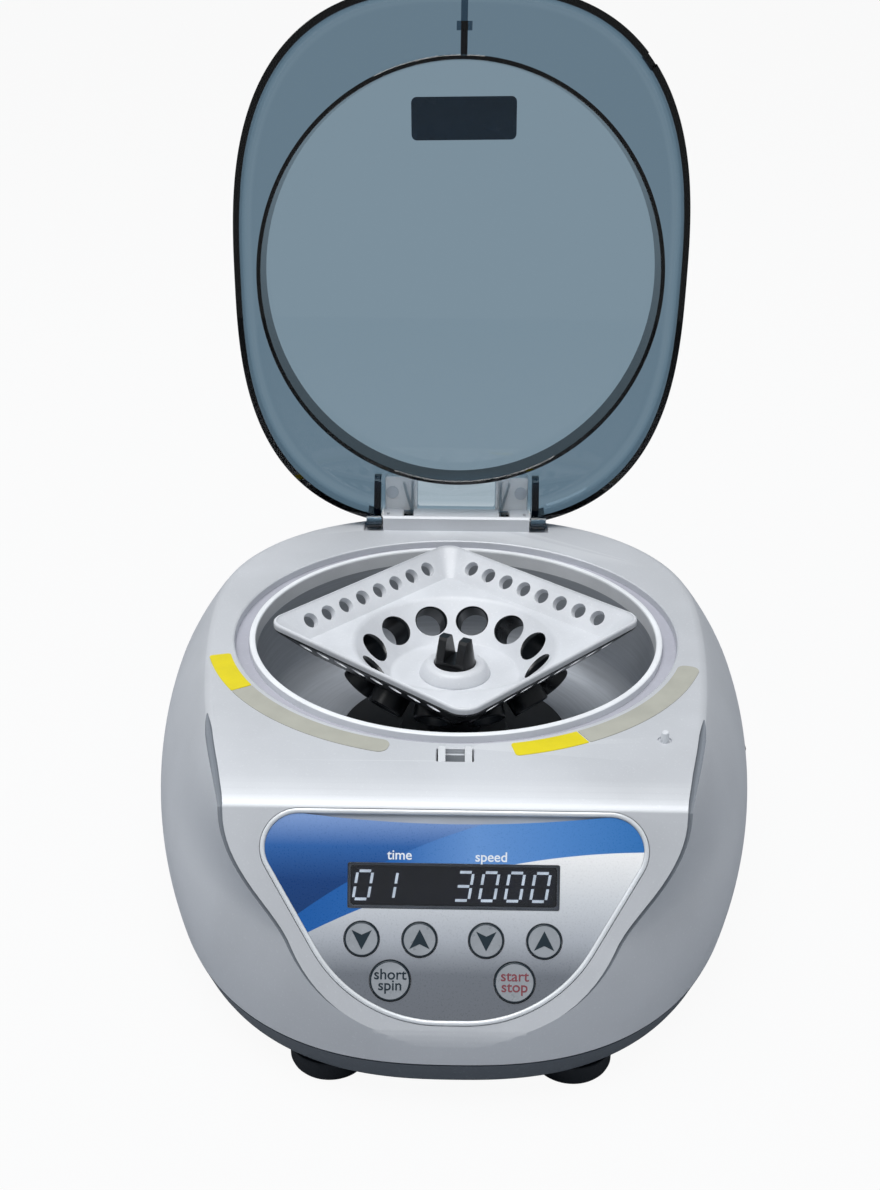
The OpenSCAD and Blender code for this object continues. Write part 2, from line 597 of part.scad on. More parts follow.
module motor_plate() color(steel) translate([0, 0, drive_top - plate_t]) difference() {
    union() {
        cylinder(d = 54, h = plate_t, $fn = 64);
        for (a = [90, 210, 330]) rotate(a) {
            translate([0, -8, 0]) cube([34, 16, plate_t]);
            translate([34, 0, 0]) cylinder(r = 8, h = plate_t, $fn = 32);
        }
    }
    translate([0, 0, -1]) cylinder(d = shaft_d + 2, h = 10, $fn = 48);
}

module motor_isolators() color(rubber) for (a = [90, 210, 330]) rotate(a)
    translate([34, 0, post_top]) cylinder(r = 6, h = 9, $fn = 32);

part_h = min(14, bowl_floor - 2 - tray_lift - 11.6 - 2);
module control_board() color([0.1, 0.32, 0.2]) for (s = [-1, 1])
    translate([s * board_x - 12, -46, tray_lift + 10]) cube([24, 92, 1.6]);

module board_parts() color([0.15, 0.15, 0.17]) for (s = [-1, 1])
    translate([s * board_x, 0, tray_lift + 11.6]) {
    translate([-9, -34, 0]) cube([18, 22, 0.7 * part_h]);
    translate([-5, 0, 0]) cylinder(d = 10, h = part_h, $fn = 32);
    translate([5, 18, 0]) cylinder(d = 9, h = 0.85 * part_h, $fn = 32);
    translate([-8, 28, 0]) cube([14, 12, 0.45 * part_h]);
}

// Hinge tower: a block with two slots for the arms of the lid.
module hinge_tower() color(silver) difference() {
    translate([0, pivot_y - 4.8, deck_height]) rotate([90, 0, 90]) translate([0, 0, -tower_w / 2])
        linear_extrude(tower_w) polygon([[0, 0], [10.4, 0], [10.4, tower_rise - 1.2],
            [9.2, tower_rise], [0.8, tower_rise], [0, tower_rise - 0.8]]);
    for (s = [-1, 1]) translate([s * arm_x - arm_w / 2 - gap, pivot_y - 3.4, deck_height - 1])
        cube([arm_w + 2 * gap, 12, 20]);
    translate([-tower_w, pivot_y, pivot_z]) rotate([0, 90, 0])
        cylinder(d = pin_d + 0.06, h = 2 * tower_w, $fn = 32);
    for (s = [-1, 1]) {
        translate([s * (tower_w / 2 - 2.1) - 0.6, pivot_y - 2.6, deck_height + tower_rise - 1])
            cube([1.2, 2.6, 4]);
        translate([s * tower_screw_x, tower_screw_y, deck_height - 1]) cylinder(d = 2.6, h = 4.1, $fn = 24);
    }
}

module hinge_pin() color(steel) translate([-ear_in - ear_w + 0.4, pivot_y, pivot_z]) rotate([0, 90, 0])
    cylinder(d = pin_d, h = 2 * (ear_in + ear_w - 0.4), $fn = 32);

module tower_screws() color(steel) for (s = [-1, 1])
    translate([s * tower_screw_x, tower_screw_y, deck_height - 10]) cylinder(d = 2.5, h = 13, $fn = 24);

// Outline of the lid seen from above, moved in by g and cut off at the back.
lid_n = 2.75;
lid_back = groove_r + 17.55;
lid_cut = pivot_y + 0.6;
function lid_ring(g, z, n = 72) = [for (i = [0:n - 1]) let (c = cos(360 * i / n), s = sin(360 * i / n),
    y = (s < 0 ? lid_front - g : lid_back - g) * spow(s, 2 / lid_n))
    [(lid_half_width - g) * spow(c, 2 / lid_n), min(y, lid_cut - g), z]];

module lid_shell() color(smoke) as_open() difference() {
    union() {
        difference() {
            loft([lid_ring(0, skirt_z), lid_ring(0.2, plate_z - 3), lid_ring(1, plate_z),
                lid_ring(2.8, plate_z + lid_t - 0.8), lid_ring(6, plate_z + lid_t)]);
            loft([lid_ring(lid_t, skirt_z - 1), lid_ring(lid_t + 0.2, plate_z - 2.4),
                lid_ring(lid_t + 2.4, plate_z)]);
            translate([-ear_in, pivot_y - 6, deck_height - 5]) cube([2 * ear_in, 20, lid_rise + 5]);
        }
        translate([0, 0, ring_z]) difference() {
            cylinder(r = ring_r, h = plate_z - ring_z + 0.5, $fn = 120);
            translate([0, 0, -1]) cylinder(r = ring_r - ring_t, h = 40, $fn = 120);
        }
        lid_hook();
        for (s = [-1, 1]) {
            translate([s * arm_x - arm_w / 2, 0, 0]) lid_arm(arm_w);
            translate([s > 0 ? ear_in : -ear_in - ear_w, 0, 0]) lid_arm(ear_w);
            lid_rib(s);
        }
    }
    translate([-60, pivot_y, pivot_z]) rotate([0, 90, 0]) cylinder(d = pin_d + 0.1, h = 120, $fn = 32);
    translate([pin_x, pin_y, deck_height - 2]) cylinder(d = 6, h = 7, $fn = 24);
}
// Arm from the plate down to the pin, w wide in x.
module lid_arm(w) {
    translate([0, pivot_y, pivot_z]) rotate([0, 90, 0]) cylinder(r = knuckle_r, h = w, $fn = 32);
    translate([0, pivot_y - knuckle_r + 0.2, pivot_z]) cube([w, knuckle_r + 0.4, plate_z - pivot_z + 0.5]);
}
// T-shaped hook and its rib, in front of the ring.
module lid_hook() {
    translate([-1.25, hook_y - hook_t / 2, hook_z]) cube([2.5, hook_t, plate_z - hook_z + 0.5]);
    translate([-hook_w / 2, hook_y - hook_t / 2, hook_z]) cube([hook_w, hook_t, bar_h]);
    translate([-1.25, hook_y, skirt_z + 0.4]) cube([2.5, -hook_y - ring_r + 1, plate_z - skirt_z]);
    translate([-1.25, -lid_front + 1.2, plate_z - 3]) cube([2.5, 12, 3.4]);
}
// Two thin ribs that meet at an arm and make a V.
module lid_rib(s) for (d = [0, 1]) translate([s * (arm_x - 1.5) - 0.5, pivot_y - 2, plate_z - 5])
    rotate(d * s * 16 + 180) translate([-0.5, 0, 0]) cube([1, 13, 5.2]);

module lid_plates() color([0.9, 0.91, 0.93]) as_open() for (s = [-1, 1])
    translate([s * 27 - 3.5, pivot_y - 9.6, plate_z - 4.3]) {
        translate([3.5, 0, 0]) rounded_box(7, 15, 1.2, 4.3);
    }

module lid_plate_screws() color([0.8, 0.81, 0.83]) as_open() for (s = [-1, 1])
    translate([s * 27, pivot_y - 10.4, plate_z - 4.7]) cylinder(d = 5.2, h = 0.4, $fn = 32);

module lid_sticker() color([0.15, 0.19, 0.24]) as_open() translate([0.5, -0.564 * lid_front, plate_z + lid_t])
    rotate(-1) rounded_box(40, 15, 2, 0.2);

// Sliding latch: a plate with a fork that passes over the crossbar of the hook.
bolt_z = deck_height - 5.1;
bolt_tip = hook_y - hook_t / 2 - 0.7;
bolt_w = 10.6;
bolt_t = 2;
guide_l = 14.5;
module latch_bolt() color(steel) {
    translate([-bolt_w / 2, bolt_tip - guide_l - 2.6, bolt_z]) cube([bolt_w, guide_l - 4, bolt_t]);
    for (s = [-1, 1]) translate([s * 2.25 - 0.6, bolt_tip - 7, bolt_z]) cube([1.2, 7, bolt_t]);
}

// Moulded guide: a channel for the bolt and two ears that lead the hook in.
module latch_guide() color([0.74, 0.75, 0.77]) difference() {
    union() {
        translate([-8, bolt_tip - guide_l - 2.1, deck_height - 7.4]) cube([16, guide_l, 7.4 - wall]);
        for (s = [-1, 1]) translate([s > 0 ? throat_w / 2 : -slot_w / 2 + 0.5, 0, 0])
            guide_ear(slot_w / 2 - 0.5 - throat_w / 2);
        translate([-throat_w / 2 - eps, slot_back - 1.3, deck_height - 10])
            cube([throat_w + 2 * eps, 1, 8.2]);
        translate([-slot_w / 2 + 0.5, slot_back - 9.1, deck_height - 10]) cube([slot_w - 1, 9, 1.2]);
    }
    translate([-bolt_w / 2 - fit, bolt_tip - guide_l - 10, bolt_z - fit])
        cube([bolt_w + 2 * fit, guide_l + 8, bolt_t + 2 * fit]);
}
module guide_ear(w) rotate([90, 0, 90]) linear_extrude(w) polygon([[slot_back - slot_l - 1.4,
    deck_height - 10], [slot_back - 0.3, deck_height - 10], [slot_back - 0.3, deck_height
    + guide_rise - 0.7], [slot_back - 0.9, deck_height + guide_rise], [slot_back - 2, deck_height
    + guide_rise], [slot_back - 3.4, deck_height + guide_rise - 1], [slot_back - slot_l + 0.3,
    deck_height - 0.6], [slot_back - slot_l + 0.3, deck_height - wall], [slot_back - slot_l - 1.4,
    deck_height - wall]]);

module latch_solenoid() color([0.3, 0.31, 0.33]) translate([-8, bolt_tip - guide_l - 3.4, deck_height - 23.4])
    cube([16, 13, 16]);

module safety_pin() color(off_white) translate([pin_x, pin_y, 0]) {
    translate([0, 0, deck_height - 8.4]) cylinder(d = peg_d, h = 11.2, $fn = 24);
    translate([0, 0, deck_height + 2.8]) cylinder(d1 = peg_d, d2 = peg_d - 0.8, h = 0.4, $fn = 24);
    translate([0, 0, deck_height - wall - 1.45]) cylinder(d = 4.6, h = 1.2, $fn = 24);
}

module safety_switch() color(black) difference() {
    translate([pin_x - 5, pin_y - 4, deck_height - 20]) cube([10, 8, 10]);
    translate([pin_x, pin_y, deck_height - 13]) cylinder(d = peg_d + 0.4, h = 10, $fn = 24);
}

rocker_x = -3.6;
rocker_d = 2.4;
module switch_frame() color(black) on_cheek() difference() {
    union() {
        translate([-12, -10.1, -6.1]) cube([12, 20.2, 12.2]);
        translate([-0.8, -11.5, -7.5]) cube([1.2, 23, 15]);
    }
    translate([-10, -8.3, -4.8]) cube([13, 16.6, 9.6]);
    translate([rocker_x, 0, -5.75]) cylinder(d = rocker_d + 2 * fit, h = 11.5, $fn = 24);
}

// The rocker turns on two round pins in the side walls of its frame.
module switch_rocker() color([0.1, 0.1, 0.11]) on_cheek() translate([rocker_x, 0, 0]) {
    rotate([90, 0, 90]) translate([0, 4.5, 0]) rotate([90, 0, 0]) linear_extrude(9)
        polygon([[-7.2, 1.2], [-3.4, -2.4], [3.4, -2.4], [7.2, 2.8], [7.2, 4], [0, 2.6], [-7.2, 2.2]]);
    translate([0, 0, -5.6]) cylinder(d = rocker_d, h = 11.2, $fn = 24);
}

module power_inlet() color(black) translate([0, inlet_y, inlet_z]) difference() {
    union() {
        translate([-14, -22, -10]) cube([28, 22, 20]);
        translate([-25, -2.2, -12]) cube([50, 3.6, 24]);
    }
    translate([-12, -12, -8]) cube([24, 30, 16]);
    for (s = [-1, 1]) translate([s * 20, 10, 0]) rotate([90, 0, 0]) cylinder(d = 3.4, h = 20, $fn = 24);
}

module inlet_pins() color([0.78, 0.68, 0.4]) translate([0, inlet_y, inlet_z])
    for (p = [[-7, -2], [0, 3], [7, -2]]) translate([p[0] - 1, -12, p[1] - 2]) cube([2, 9, 4]);

// A flat curved label on the deck, from angle a to b.
module arc_label(a, b) translate([0, 0, deck_height]) linear_extrude(0.25)
    polygon(concat([for (i = [0:20]) around(2.15, a + (b - a) * i / 20)],
        [for (i = [20:-1:0]) around(deck_side - 0.3, a + (b - a) * i / 20)]));
module label_left() color([0.72, 0.71, 0.64]) arc_label(-147, -104);
module label_right() color([0.72, 0.71, 0.64]) arc_label(-61, -18);
module tag_left() color([0.93, 0.88, 0.15]) arc_label(-165, -147.2);
module tag_right() color([0.93, 0.88, 0.15]) arc_label(-78, -61.2);

base_tray();
feet();
base_screws();
top_housing();
label_left();
label_right();
tag_left();
tag_right();
panel_bezel();
panel_film();
display_window();
display_digits();
display_module();
key_time_down();
key_time_up();
key_speed_down();
key_speed_up();
key_short_spin();
key_start_stop();
key_board();
chamber_collar();
chamber_bowl();
chamber_seal();
shaft_seal();
bowl_screws();
rotor();
drive_hub();
motor_shaft();
motor_body();
motor_plate();
motor_isolators();
control_board();
board_parts();
hinge_tower();
hinge_pin();
tower_screws();
lid_shell();
lid_plates();
lid_plate_screws();
lid_sticker();
latch_bolt();
latch_guide();
latch_solenoid();
safety_pin();
safety_switch();
switch_frame();
switch_rocker();
power_inlet();
inlet_pins();
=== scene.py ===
import bpy, bmesh, math
from mathutils import Matrix, Vector


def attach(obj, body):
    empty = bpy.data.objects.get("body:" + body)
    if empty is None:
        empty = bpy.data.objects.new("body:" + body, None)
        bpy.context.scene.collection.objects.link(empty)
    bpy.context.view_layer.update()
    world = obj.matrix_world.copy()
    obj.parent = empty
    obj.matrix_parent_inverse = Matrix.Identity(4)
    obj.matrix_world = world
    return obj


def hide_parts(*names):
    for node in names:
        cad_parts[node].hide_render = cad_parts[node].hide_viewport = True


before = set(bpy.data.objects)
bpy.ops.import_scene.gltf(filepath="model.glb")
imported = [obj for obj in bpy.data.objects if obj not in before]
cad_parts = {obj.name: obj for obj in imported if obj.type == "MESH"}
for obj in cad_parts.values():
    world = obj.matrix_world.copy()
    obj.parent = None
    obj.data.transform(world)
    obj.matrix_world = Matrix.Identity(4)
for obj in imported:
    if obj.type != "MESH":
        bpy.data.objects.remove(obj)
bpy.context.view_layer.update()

# Camera: a view from the front and above. The picture is the upper part
# of a larger one, so the lens axis meets it low down and a shift brings it there.
IMAGE_W, IMAGE_H = 880, 1190
FOCAL_PX = 1465.911
AXIS_PX = (428.2, 803.5)
cam_data = bpy.data.cameras.new("view")
cam_data.sensor_fit = "VERTICAL"
cam_data.sensor_height = 36.0
cam_data.lens = FOCAL_PX * 36.0 / IMAGE_H
cam_data.shift_x = (IMAGE_W / 2 - AXIS_PX[0]) / IMAGE_H
cam_data.shift_y = (AXIS_PX[1] - IMAGE_H / 2) / IMAGE_H
cam_data.clip_start = 0.01
camera = bpy.data.objects.new("view", cam_data)
bpy.context.scene.collection.objects.link(camera)
right = Vector((0.9998322767, 0.0173584337, 0.0058397994))
up = Vector((-0.0144423293, 0.5512071484, 0.8342434289))
back = -Vector((-0.0112622201, 0.8341878472, -0.5513653943))
turn = Matrix((right, up, back)).transposed().to_4x4()
camera.matrix_world = Matrix.Translation((-0.00307183, -0.48352953, 0.332875)) @ turn
bpy.context.scene.camera = camera


# Housing: one shell of ABS, moulded in a single shot and sprayed with a satin
# silver paint. An egg in plan, cut by a flat deck and a sloping front, with a
# crease moulded down both sides of the front.
DECK, BELLY, SEAM, LIFT, WIDEST_Y = 90.0, 41.4, 17.0, 8.0, 18.7
HALF_DECK, SWELL, FRONT, BACK = 90.5, 20.1, 151.8, 107.7
SLOPE = math.radians(32)
LEAD = (-114.6, 86.4)
WALL = 2.6
GROOVE_R = 80.45
PIN_X, PIN_Y = 67.5, -77.0
INLET_Y, INLET_Z = 112.7, 38.0
SIDEWAYS = Matrix(((0, 0, 1, 0), (1, 0, 0, 0), (0, 1, 0, 0), (0, 0, 0, 1)))
BACKWARD = Matrix.Rotation(math.pi / 2, 4, "X")
BROW_DECK, BROW_SLOPE = 20, 4


def at(x, y, z=0.0):
    """A move by millimetres."""
    return Matrix.Translation((x / 1000, y / 1000, z / 1000))


ON_SLOPE = at(0, *LEAD) @ Matrix.Rotation(math.pi / 2 - SLOPE, 4, "X")
ON_CHEEK = (at(110.273, 6, 36.5) @ Matrix.Rotation(math.radians(-1.2), 4, "Z")
            @ Matrix.Rotation(math.radians(4.892), 4, "Y"))


def clip(v):
    return min(1.0, max(0.0, v))


def power(v, p):
    """A power that keeps the sign, for superellipses."""
    return math.copysign(abs(v) ** p, v)


def reach(z):
    """Half width, front reach, back reach and squareness of the egg at height z, in mm."""
    t = clip((DECK - z) / (DECK - BELLY))
    u = clip((BELLY - z) / (BELLY - SEAM))
    n = clip((DECK - z) / (0.43 * DECK))
    w = clip((SEAM - z) / (SEAM - LIFT))
    a = HALF_DECK + SWELL * (1 - (1 - t) ** 2) - 5.2 * u * u - 4 * w
    f = FRONT * (1 + 0.5 * (1 - n) ** 2) - 2 * w
    b = BACK + 5 * (1 - (1 - t) ** 2) - 4 * w
    return a, f, b, 1.72 + 0.81 * min(1.0, (DECK - z) / (DECK - SEAM))


def egg(z, inset=0.0, n=288):
    a, f, b, nf = reach(z)
    ring = []
    for i in range(n):
        c, s = math.cos(2 * math.pi * i / n), math.sin(2 * math.pi * i / n)
        e, r = (nf, f + WIDEST_Y) if s < 0 else (2.32, b - WIDEST_Y)
        ring.append(((a - inset) * power(c, 2 / e), WIDEST_Y + (r - inset) * power(s, 2 / e), z))
    return ring


def cheek(y, z):
    """Half width of the egg at y, in front of its widest place."""
    a, f, b, n = reach(z)
    return a * max(0.0, 1 - (abs(WIDEST_Y - y) / (f + WIDEST_Y)) ** n) ** (1 / n)


def added(name, mesh):
    o = bpy.data.objects.new(name, mesh)
    bpy.context.scene.collection.objects.link(o)
    return o


def from_bmesh(name, bm):
    bmesh.ops.remove_doubles(bm, verts=bm.verts, dist=1e-7)
    bmesh.ops.recalc_face_normals(bm, faces=bm.faces)
    mesh = bpy.data.meshes.new(name)
    bm.to_mesh(mesh)
    bm.free()
    return added(name, mesh)


def solid(name, rings, place=Matrix()):
    """Closed mesh over rings of equally many points, in mm."""
    bm, n = bmesh.new(), len(rings[0])
    rows = [[bm.verts.new(place @ Vector((x / 1000, y / 1000, z / 1000))) for x, y, z in r] for r in rings]
    for low, high in zip(rows, rows[1:]):
        for i in range(n):
            j = (i + 1) % n
            bm.faces.new((low[i], low[j], high[j], high[i]))
    bm.faces.new(reversed(rows[0]))
    bm.faces.new(rows[-1])
    return from_bmesh(name, bm)


def prism(name, outline, low, high, place=Matrix()):
    """Prism over an outline of (x, y) points from low to high, in mm, moved by place."""
    return solid(name, [[(x, y, z) for x, y in outline] for z in (low, high)], place)


def lathe(name, profile, n=192, place=Matrix()):
    """Solid of revolution about Z from a closed (radius, z) profile, in mm."""
    bm = bmesh.new()
    rows = []
    for i in range(n):
        c, s = math.cos(2 * math.pi * i / n), math.sin(2 * math.pi * i / n)
        spoke = [Vector((r * c / 1000, r * s / 1000, z / 1000)) for r, z in profile]
        rows.append([bm.verts.new(place @ p) for p in spoke])
    for i in range(n):
        near, far = rows[i], rows[(i + 1) % n]
        for j in range(len(profile)):
            k = (j + 1) % len(profile)
            if profile[j][0] or profile[k][0]:
                bm.faces.new((near[j], far[j], far[k], near[k]))
    return from_bmesh(name, bm)


def gather(name, pieces):
    """One mesh object from several that don't overlap."""
    bm = bmesh.new()
    for p in pieces:
        bm.from_mesh(p.data)
        bpy.data.objects.remove(p)
    return from_bmesh(name, bm)


def combine(target, other, kind):
    """Boolean of two closed meshes; the second one is used up."""
    mod = target.modifiers.new("cut", "BOOLEAN")
    mod.operation, mod.object, mod.solver = kind, other, "EXACT"
    ready = target.evaluated_get(bpy.context.evaluated_depsgraph_get())
    mesh = bpy.data.meshes.new_from_object(ready)
    target.modifiers.clear()
    target.data = mesh
    bpy.data.objects.remove(other)
    return target


def smooth(o, degrees=30):
    """Smooth shading with sharp edges over an angle, and flat faces kept flat."""
    bm = bmesh.new()
    bm.from_mesh(o.data)
    bmesh.ops.remove_doubles(bm, verts=bm.verts, dist=2e-6)
    bmesh.ops.dissolve_degenerate(bm, dist=1e-6, edges=bm.edges)
    for f in bm.faces:
        f.smooth = True
    for e in bm.edges:
        e.smooth = len(e.link_faces) != 2 or e.calc_face_angle(0) < math.radians(degrees)
    bm.to_mesh(o.data)
    bm.free()
    mod = o.modifiers.new("even", "WEIGHTED_NORMAL")
    mod.keep_sharp, mod.weight = True, 60
    return o


def seat(o, body, slot, look, *nodes):
    """Puts a finished piece on its body, in place of the solids that it stands for."""
    if not o.data.materials:
        for m in look if isinstance(look, tuple) else (look,):
            o.data.materials.append(m)
    if nodes:
        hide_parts(*nodes)
    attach(o, body)
    return o


def fillet(a, b, c, r, n=12):
    """Points of a rounded corner at b between a and c."""
    a, b, c = Vector(a), Vector(b), Vector(c)
    u, w = (a - b).normalized(), (c - b).normalized()
    h = math.acos(u.dot(w)) / 2
    o = b + (u + w).normalized() * (r / math.sin(h))
    p, q = b + u * (r / math.tan(h)) - o, b + w * (r / math.tan(h)) - o
    start = math.atan2(p.y, p.x)
    sweep = (math.atan2(q.y, q.x) - start + math.pi) % (2 * math.pi) - math.pi
    return [(o.x + r * math.cos(start + sweep * i / n), o.y + r * math.sin(start + sweep * i / n))
            for i in range(n + 1)]


def rounded(corners, radii, n=8):
    """Closed outline whose corners are each rounded by their own radius."""
    out = []
    for i, corner in enumerate(corners):
        out += fillet(corners[i - 1], corner, corners[(i + 1) % len(corners)], radii[i], n)
    return out


def rect(x0, x1, y0, y1, r=0.4, n=5):
    return rounded([(x0, y0), (x1, y0), (x1, y1), (x0, y1)], [r] * 4, n)


def deck_hole(x0, x1, y0, y1, low, r=0.5):
    """Cutter for a hole in the deck whose upper edge is broken by 0.3 mm."""
    levels = ((0, low), (0, DECK - 0.3), (0.35, DECK + 0.05), (0.35, DECK + 4))
    return solid("cut", [[(x, y, z) for x, y in rect(x0 - g, x1 + g, y0 - g, y1 + g, r + g)]
                         for g, z in levels])


def front_corners(inset):
    """Upper and lower corner (y, z) of the slope in the side view, moved in by inset."""
    k = inset / math.cos(SLOPE)
    top, yf = DECK - inset, inset - FRONT
    upper = (LEAD[0] + (top - LEAD[1]) * math.tan(SLOPE) + k, top)
    return upper, (yf, LEAD[1] - (LEAD[0] + k - yf) / math.tan(SLOPE))


def brow(inset):
    """Curve that rolls the deck over into the slope."""
    corner = Vector(front_corners(inset)[0])
    start = corner + Vector((BROW_DECK, 0))
    end = corner - BROW_SLOPE * Vector((math.sin(SLOPE), math.cos(SLOPE)))
    steps = [i / 24 for i in range(25)]
    return [tuple(start * (1 - t) ** 2 + corner * 2 * t * (1 - t) + end * t * t) for t in steps]


def front_block(inset):
    """Space under the deck and behind the slope, rolled over where they meet."""
    upper, lower = front_corners(inset)
    outline = [(130, -10), (130, upper[1])] + brow(inset)
    outline += fillet(upper, lower, (lower[0], -10), 14) + [(lower[0], -10)]
    return prism("side", outline, -130, 130, SIDEWAYS)


def crease(side):
    """Tapering groove that runs off the deck and fades down the edge of the slope."""
    line = [(y, DECK) for y in range(-59, -92, -3)] + brow(0)[::3]
    line += [(LEAD[0] - w * math.sin(SLOPE), LEAD[1] - w * math.cos(SLOPE)) for w in range(4, 64, 3)]
    path = [Vector((cheek(y, z), y, z)) for y, z in line]
    rings, last, count = [], len(path) - 1, 12
    for i, p in enumerate(path):
        t = (path[min(i + 1, last)] - path[max(i - 1, 0)]).normalized()
        y, z = p.y, p.z
        out = Vector((1, cheek(y - .5, z) - cheek(y + .5, z),
                      cheek(y, z - .5) - cheek(y, min(z + .5, DECK)))).normalized()
        down = t.cross(out).normalized()
        if down.z > 0:
            down = -down
        s = i / last
        r = 0.05 + 1.6 * min(1.0, s / 0.12) * clip((1 - s) / 0.6) ** 0.8
        c = p + down * (r * 0.42 + 0.1)
        angles = [2 * math.pi * k / count for k in range(count)]
        ring = [c + r * (out * math.cos(a) + down * math.sin(a)) for a in angles]
        rings.append([(side * v.x, v.y, v.z) for v in ring])
    return solid("crease", rings)


def shield(g, n=24):
    """Outline of the control panel on the slope, grown by g."""
    w, h = 117, 65.3
    top, low, u, v = w * 0.58 + 1.7 * g, w * 0.255 + 0.6 * g, 0.3 + g, -h - g
    return rounded([(-top, u), (-low, v), (low, v), (top, u)], [12 + g, 45 + g, 45 + g, 12 + g], n)


KEY_ROW, RUN_ROW, WINDOW_ROW, TIME_X = 39.2, 51.8, 22.9, 18.9
KEYS = {"key_time_down": (-TIME_X - 8.8, KEY_ROW), "key_time_up": (-TIME_X + 8.8, KEY_ROW),
        "key_speed_down": (TIME_X - 8.8, KEY_ROW), "key_speed_up": (TIME_X + 8.8, KEY_ROW),
        "key_short_spin": (-TIME_X, RUN_ROW), "key_start_stop": (TIME_X, RUN_ROW)}

levels = [SEAM + (DECK - SEAM) * t for t in [.01, .03, .05] + [.1 + .88 * i / 34 for i in range(34)]]
rings = [egg(SEAM, 0.5), egg(SEAM + 0.15, 0.2), egg(SEAM + 0.4)] + [egg(z) for z in levels]
rings += [egg(DECK - d, g) for d, g in ((1.2, .12), (.8, .4), (.45, .85), (.2, 1.35), (.05, 1.9), (0, 2.5))]
housing = combine(solid("housing", rings), front_block(0), "INTERSECT")
inner = [egg(z, WALL, 96) for z in [SEAM - 1] + levels[2::4] + [DECK]]
combine(housing, combine(solid("hollow", inner), front_block(WALL), "INTERSECT"), "DIFFERENCE")
combine(housing, prism("backing", rect(-28, 28, INLET_Z - 15, INLET_Z + 15, 1), -INLET_Y + 2.4, -INLET_Y + 6,
                       BACKWARD), "UNION")
combine(housing, lathe("cut", [(0, 60), (GROOVE_R, 60), (GROOVE_R, 89.3), (80.6, 89.7), (81.0, 89.95),
                               (81.3, 90.02), (81.3, 96), (0, 96)], 288), "DIFFERENCE")
cuts = [prism("cut", shield(0.15), -1.8, 8, ON_SLOPE)]
pin_hole = [(0, 70), (1.3, 70), (1.3, 89.4), (2.2, 89.4), (2.35, 90.05), (2.35, 94), (0, 94)]
cuts += [deck_hole(-5.9, 5.9, -91.8, -83.9, 70), lathe("cut", pin_hole, 48, at(PIN_X, PIN_Y))]
for s in (-1, 1):
    cuts.append(deck_hole(s * 34.4 - 4, s * 34.4 + 4, 90.4, 99.8, 88.6))
    cuts.append(deck_hole(s * 20 - 2.3, s * 20 + 2.3, 92.2, 99.8, 88.6))
    for x in range(30, 67, 9):
        vent = rect(s * x - 1.5, s * x + 1.5, INLET_Z - 10, INLET_Z + 12, 1.45)
        cuts.append(prism("cut", vent, -INLET_Y - 8, -INLET_Y + 52, BACKWARD))
inlet_seat = rect(-25.1, 25.1, INLET_Z - 12.1, INLET_Z + 12.1, 1.2)
cuts.append(prism("cut", inlet_seat, -INLET_Y - 8, -INLET_Y + 2.2, BACKWARD))
cuts.append(prism("cut", rect(-11.6, 11.6, -7.6, 7.6, 0.8), -0.9, 4, ON_CHEEK @ SIDEWAYS))
combine(housing, gather("cuts", cuts), "DIFFERENCE")
inlet_mouth = rect(-14.2, 14.2, INLET_Z - 10.2, INLET_Z + 10.2, 1)
deeper = [prism("cut", rect(-31.4, 31.4, -WINDOW_ROW - 6.1, -WINDOW_ROW + 6.1, 1), -8, 2, ON_SLOPE),
          prism("cut", inlet_mouth, -INLET_Y - 6, -INLET_Y + 8, BACKWARD),
          prism("cut", rect(-10.2, 10.2, -6.2, 6.2, 0.6), -9, 3, ON_CHEEK @ SIDEWAYS)]
for x, v in KEYS.values():
    deeper.append(lathe("cut", [(0, -12), (2.8, -12), (2.8, 2), (0, 2)], 32, ON_SLOPE @ at(x, -v)))
combine(housing, gather("cuts", deeper), "DIFFERENCE")


def linear(code, share=1.0):
    """sRGB hex to linear RGBA, darkened or lightened by share."""
    out = []
    for i in (0, 2, 4):
        c = int(code[i:i + 2], 16) / 255
        out.append(min(1.0, share * (c / 12.92 if c <= 0.04045 else ((c + 0.055) / 1.055) ** 2.4)))
    return (*out, 1.0)


def node(tree, kind, links=(), **settings):
    """Adds a shader node, sets its settings and inputs, and links its inputs."""
    n = tree.nodes.new("ShaderNode" + kind)
    for key, value in settings.items():
        if key.startswith("in_"):
            socket = key[3:].replace("_", " ")
            n.inputs[int(socket) if socket.isdigit() else socket].default_value = value
        else:
            setattr(n, key, value)
    for socket, source in links:
        tree.links.new(source, n.inputs[socket])
    return n


def new_material(name, **sockets):
    """A material with constants set on its shader; gives the tree, shader and object place."""
    m = bpy.data.materials.new(name)
    m.use_nodes = True
    t = m.node_tree
    shader = t.nodes["Principled BSDF"]
    for key, value in sockets.items():
        shader.inputs[key.replace("_", " ")].default_value = value
    return m, t, shader, node(t, "TexCoord").outputs["Object"]


def wire(t, shader, **sources):
    """Links each source to the input of the shader that it is named after."""
    for key, source in sources.items():
        t.links.new(source, shader.inputs[key.replace("_", " ")])


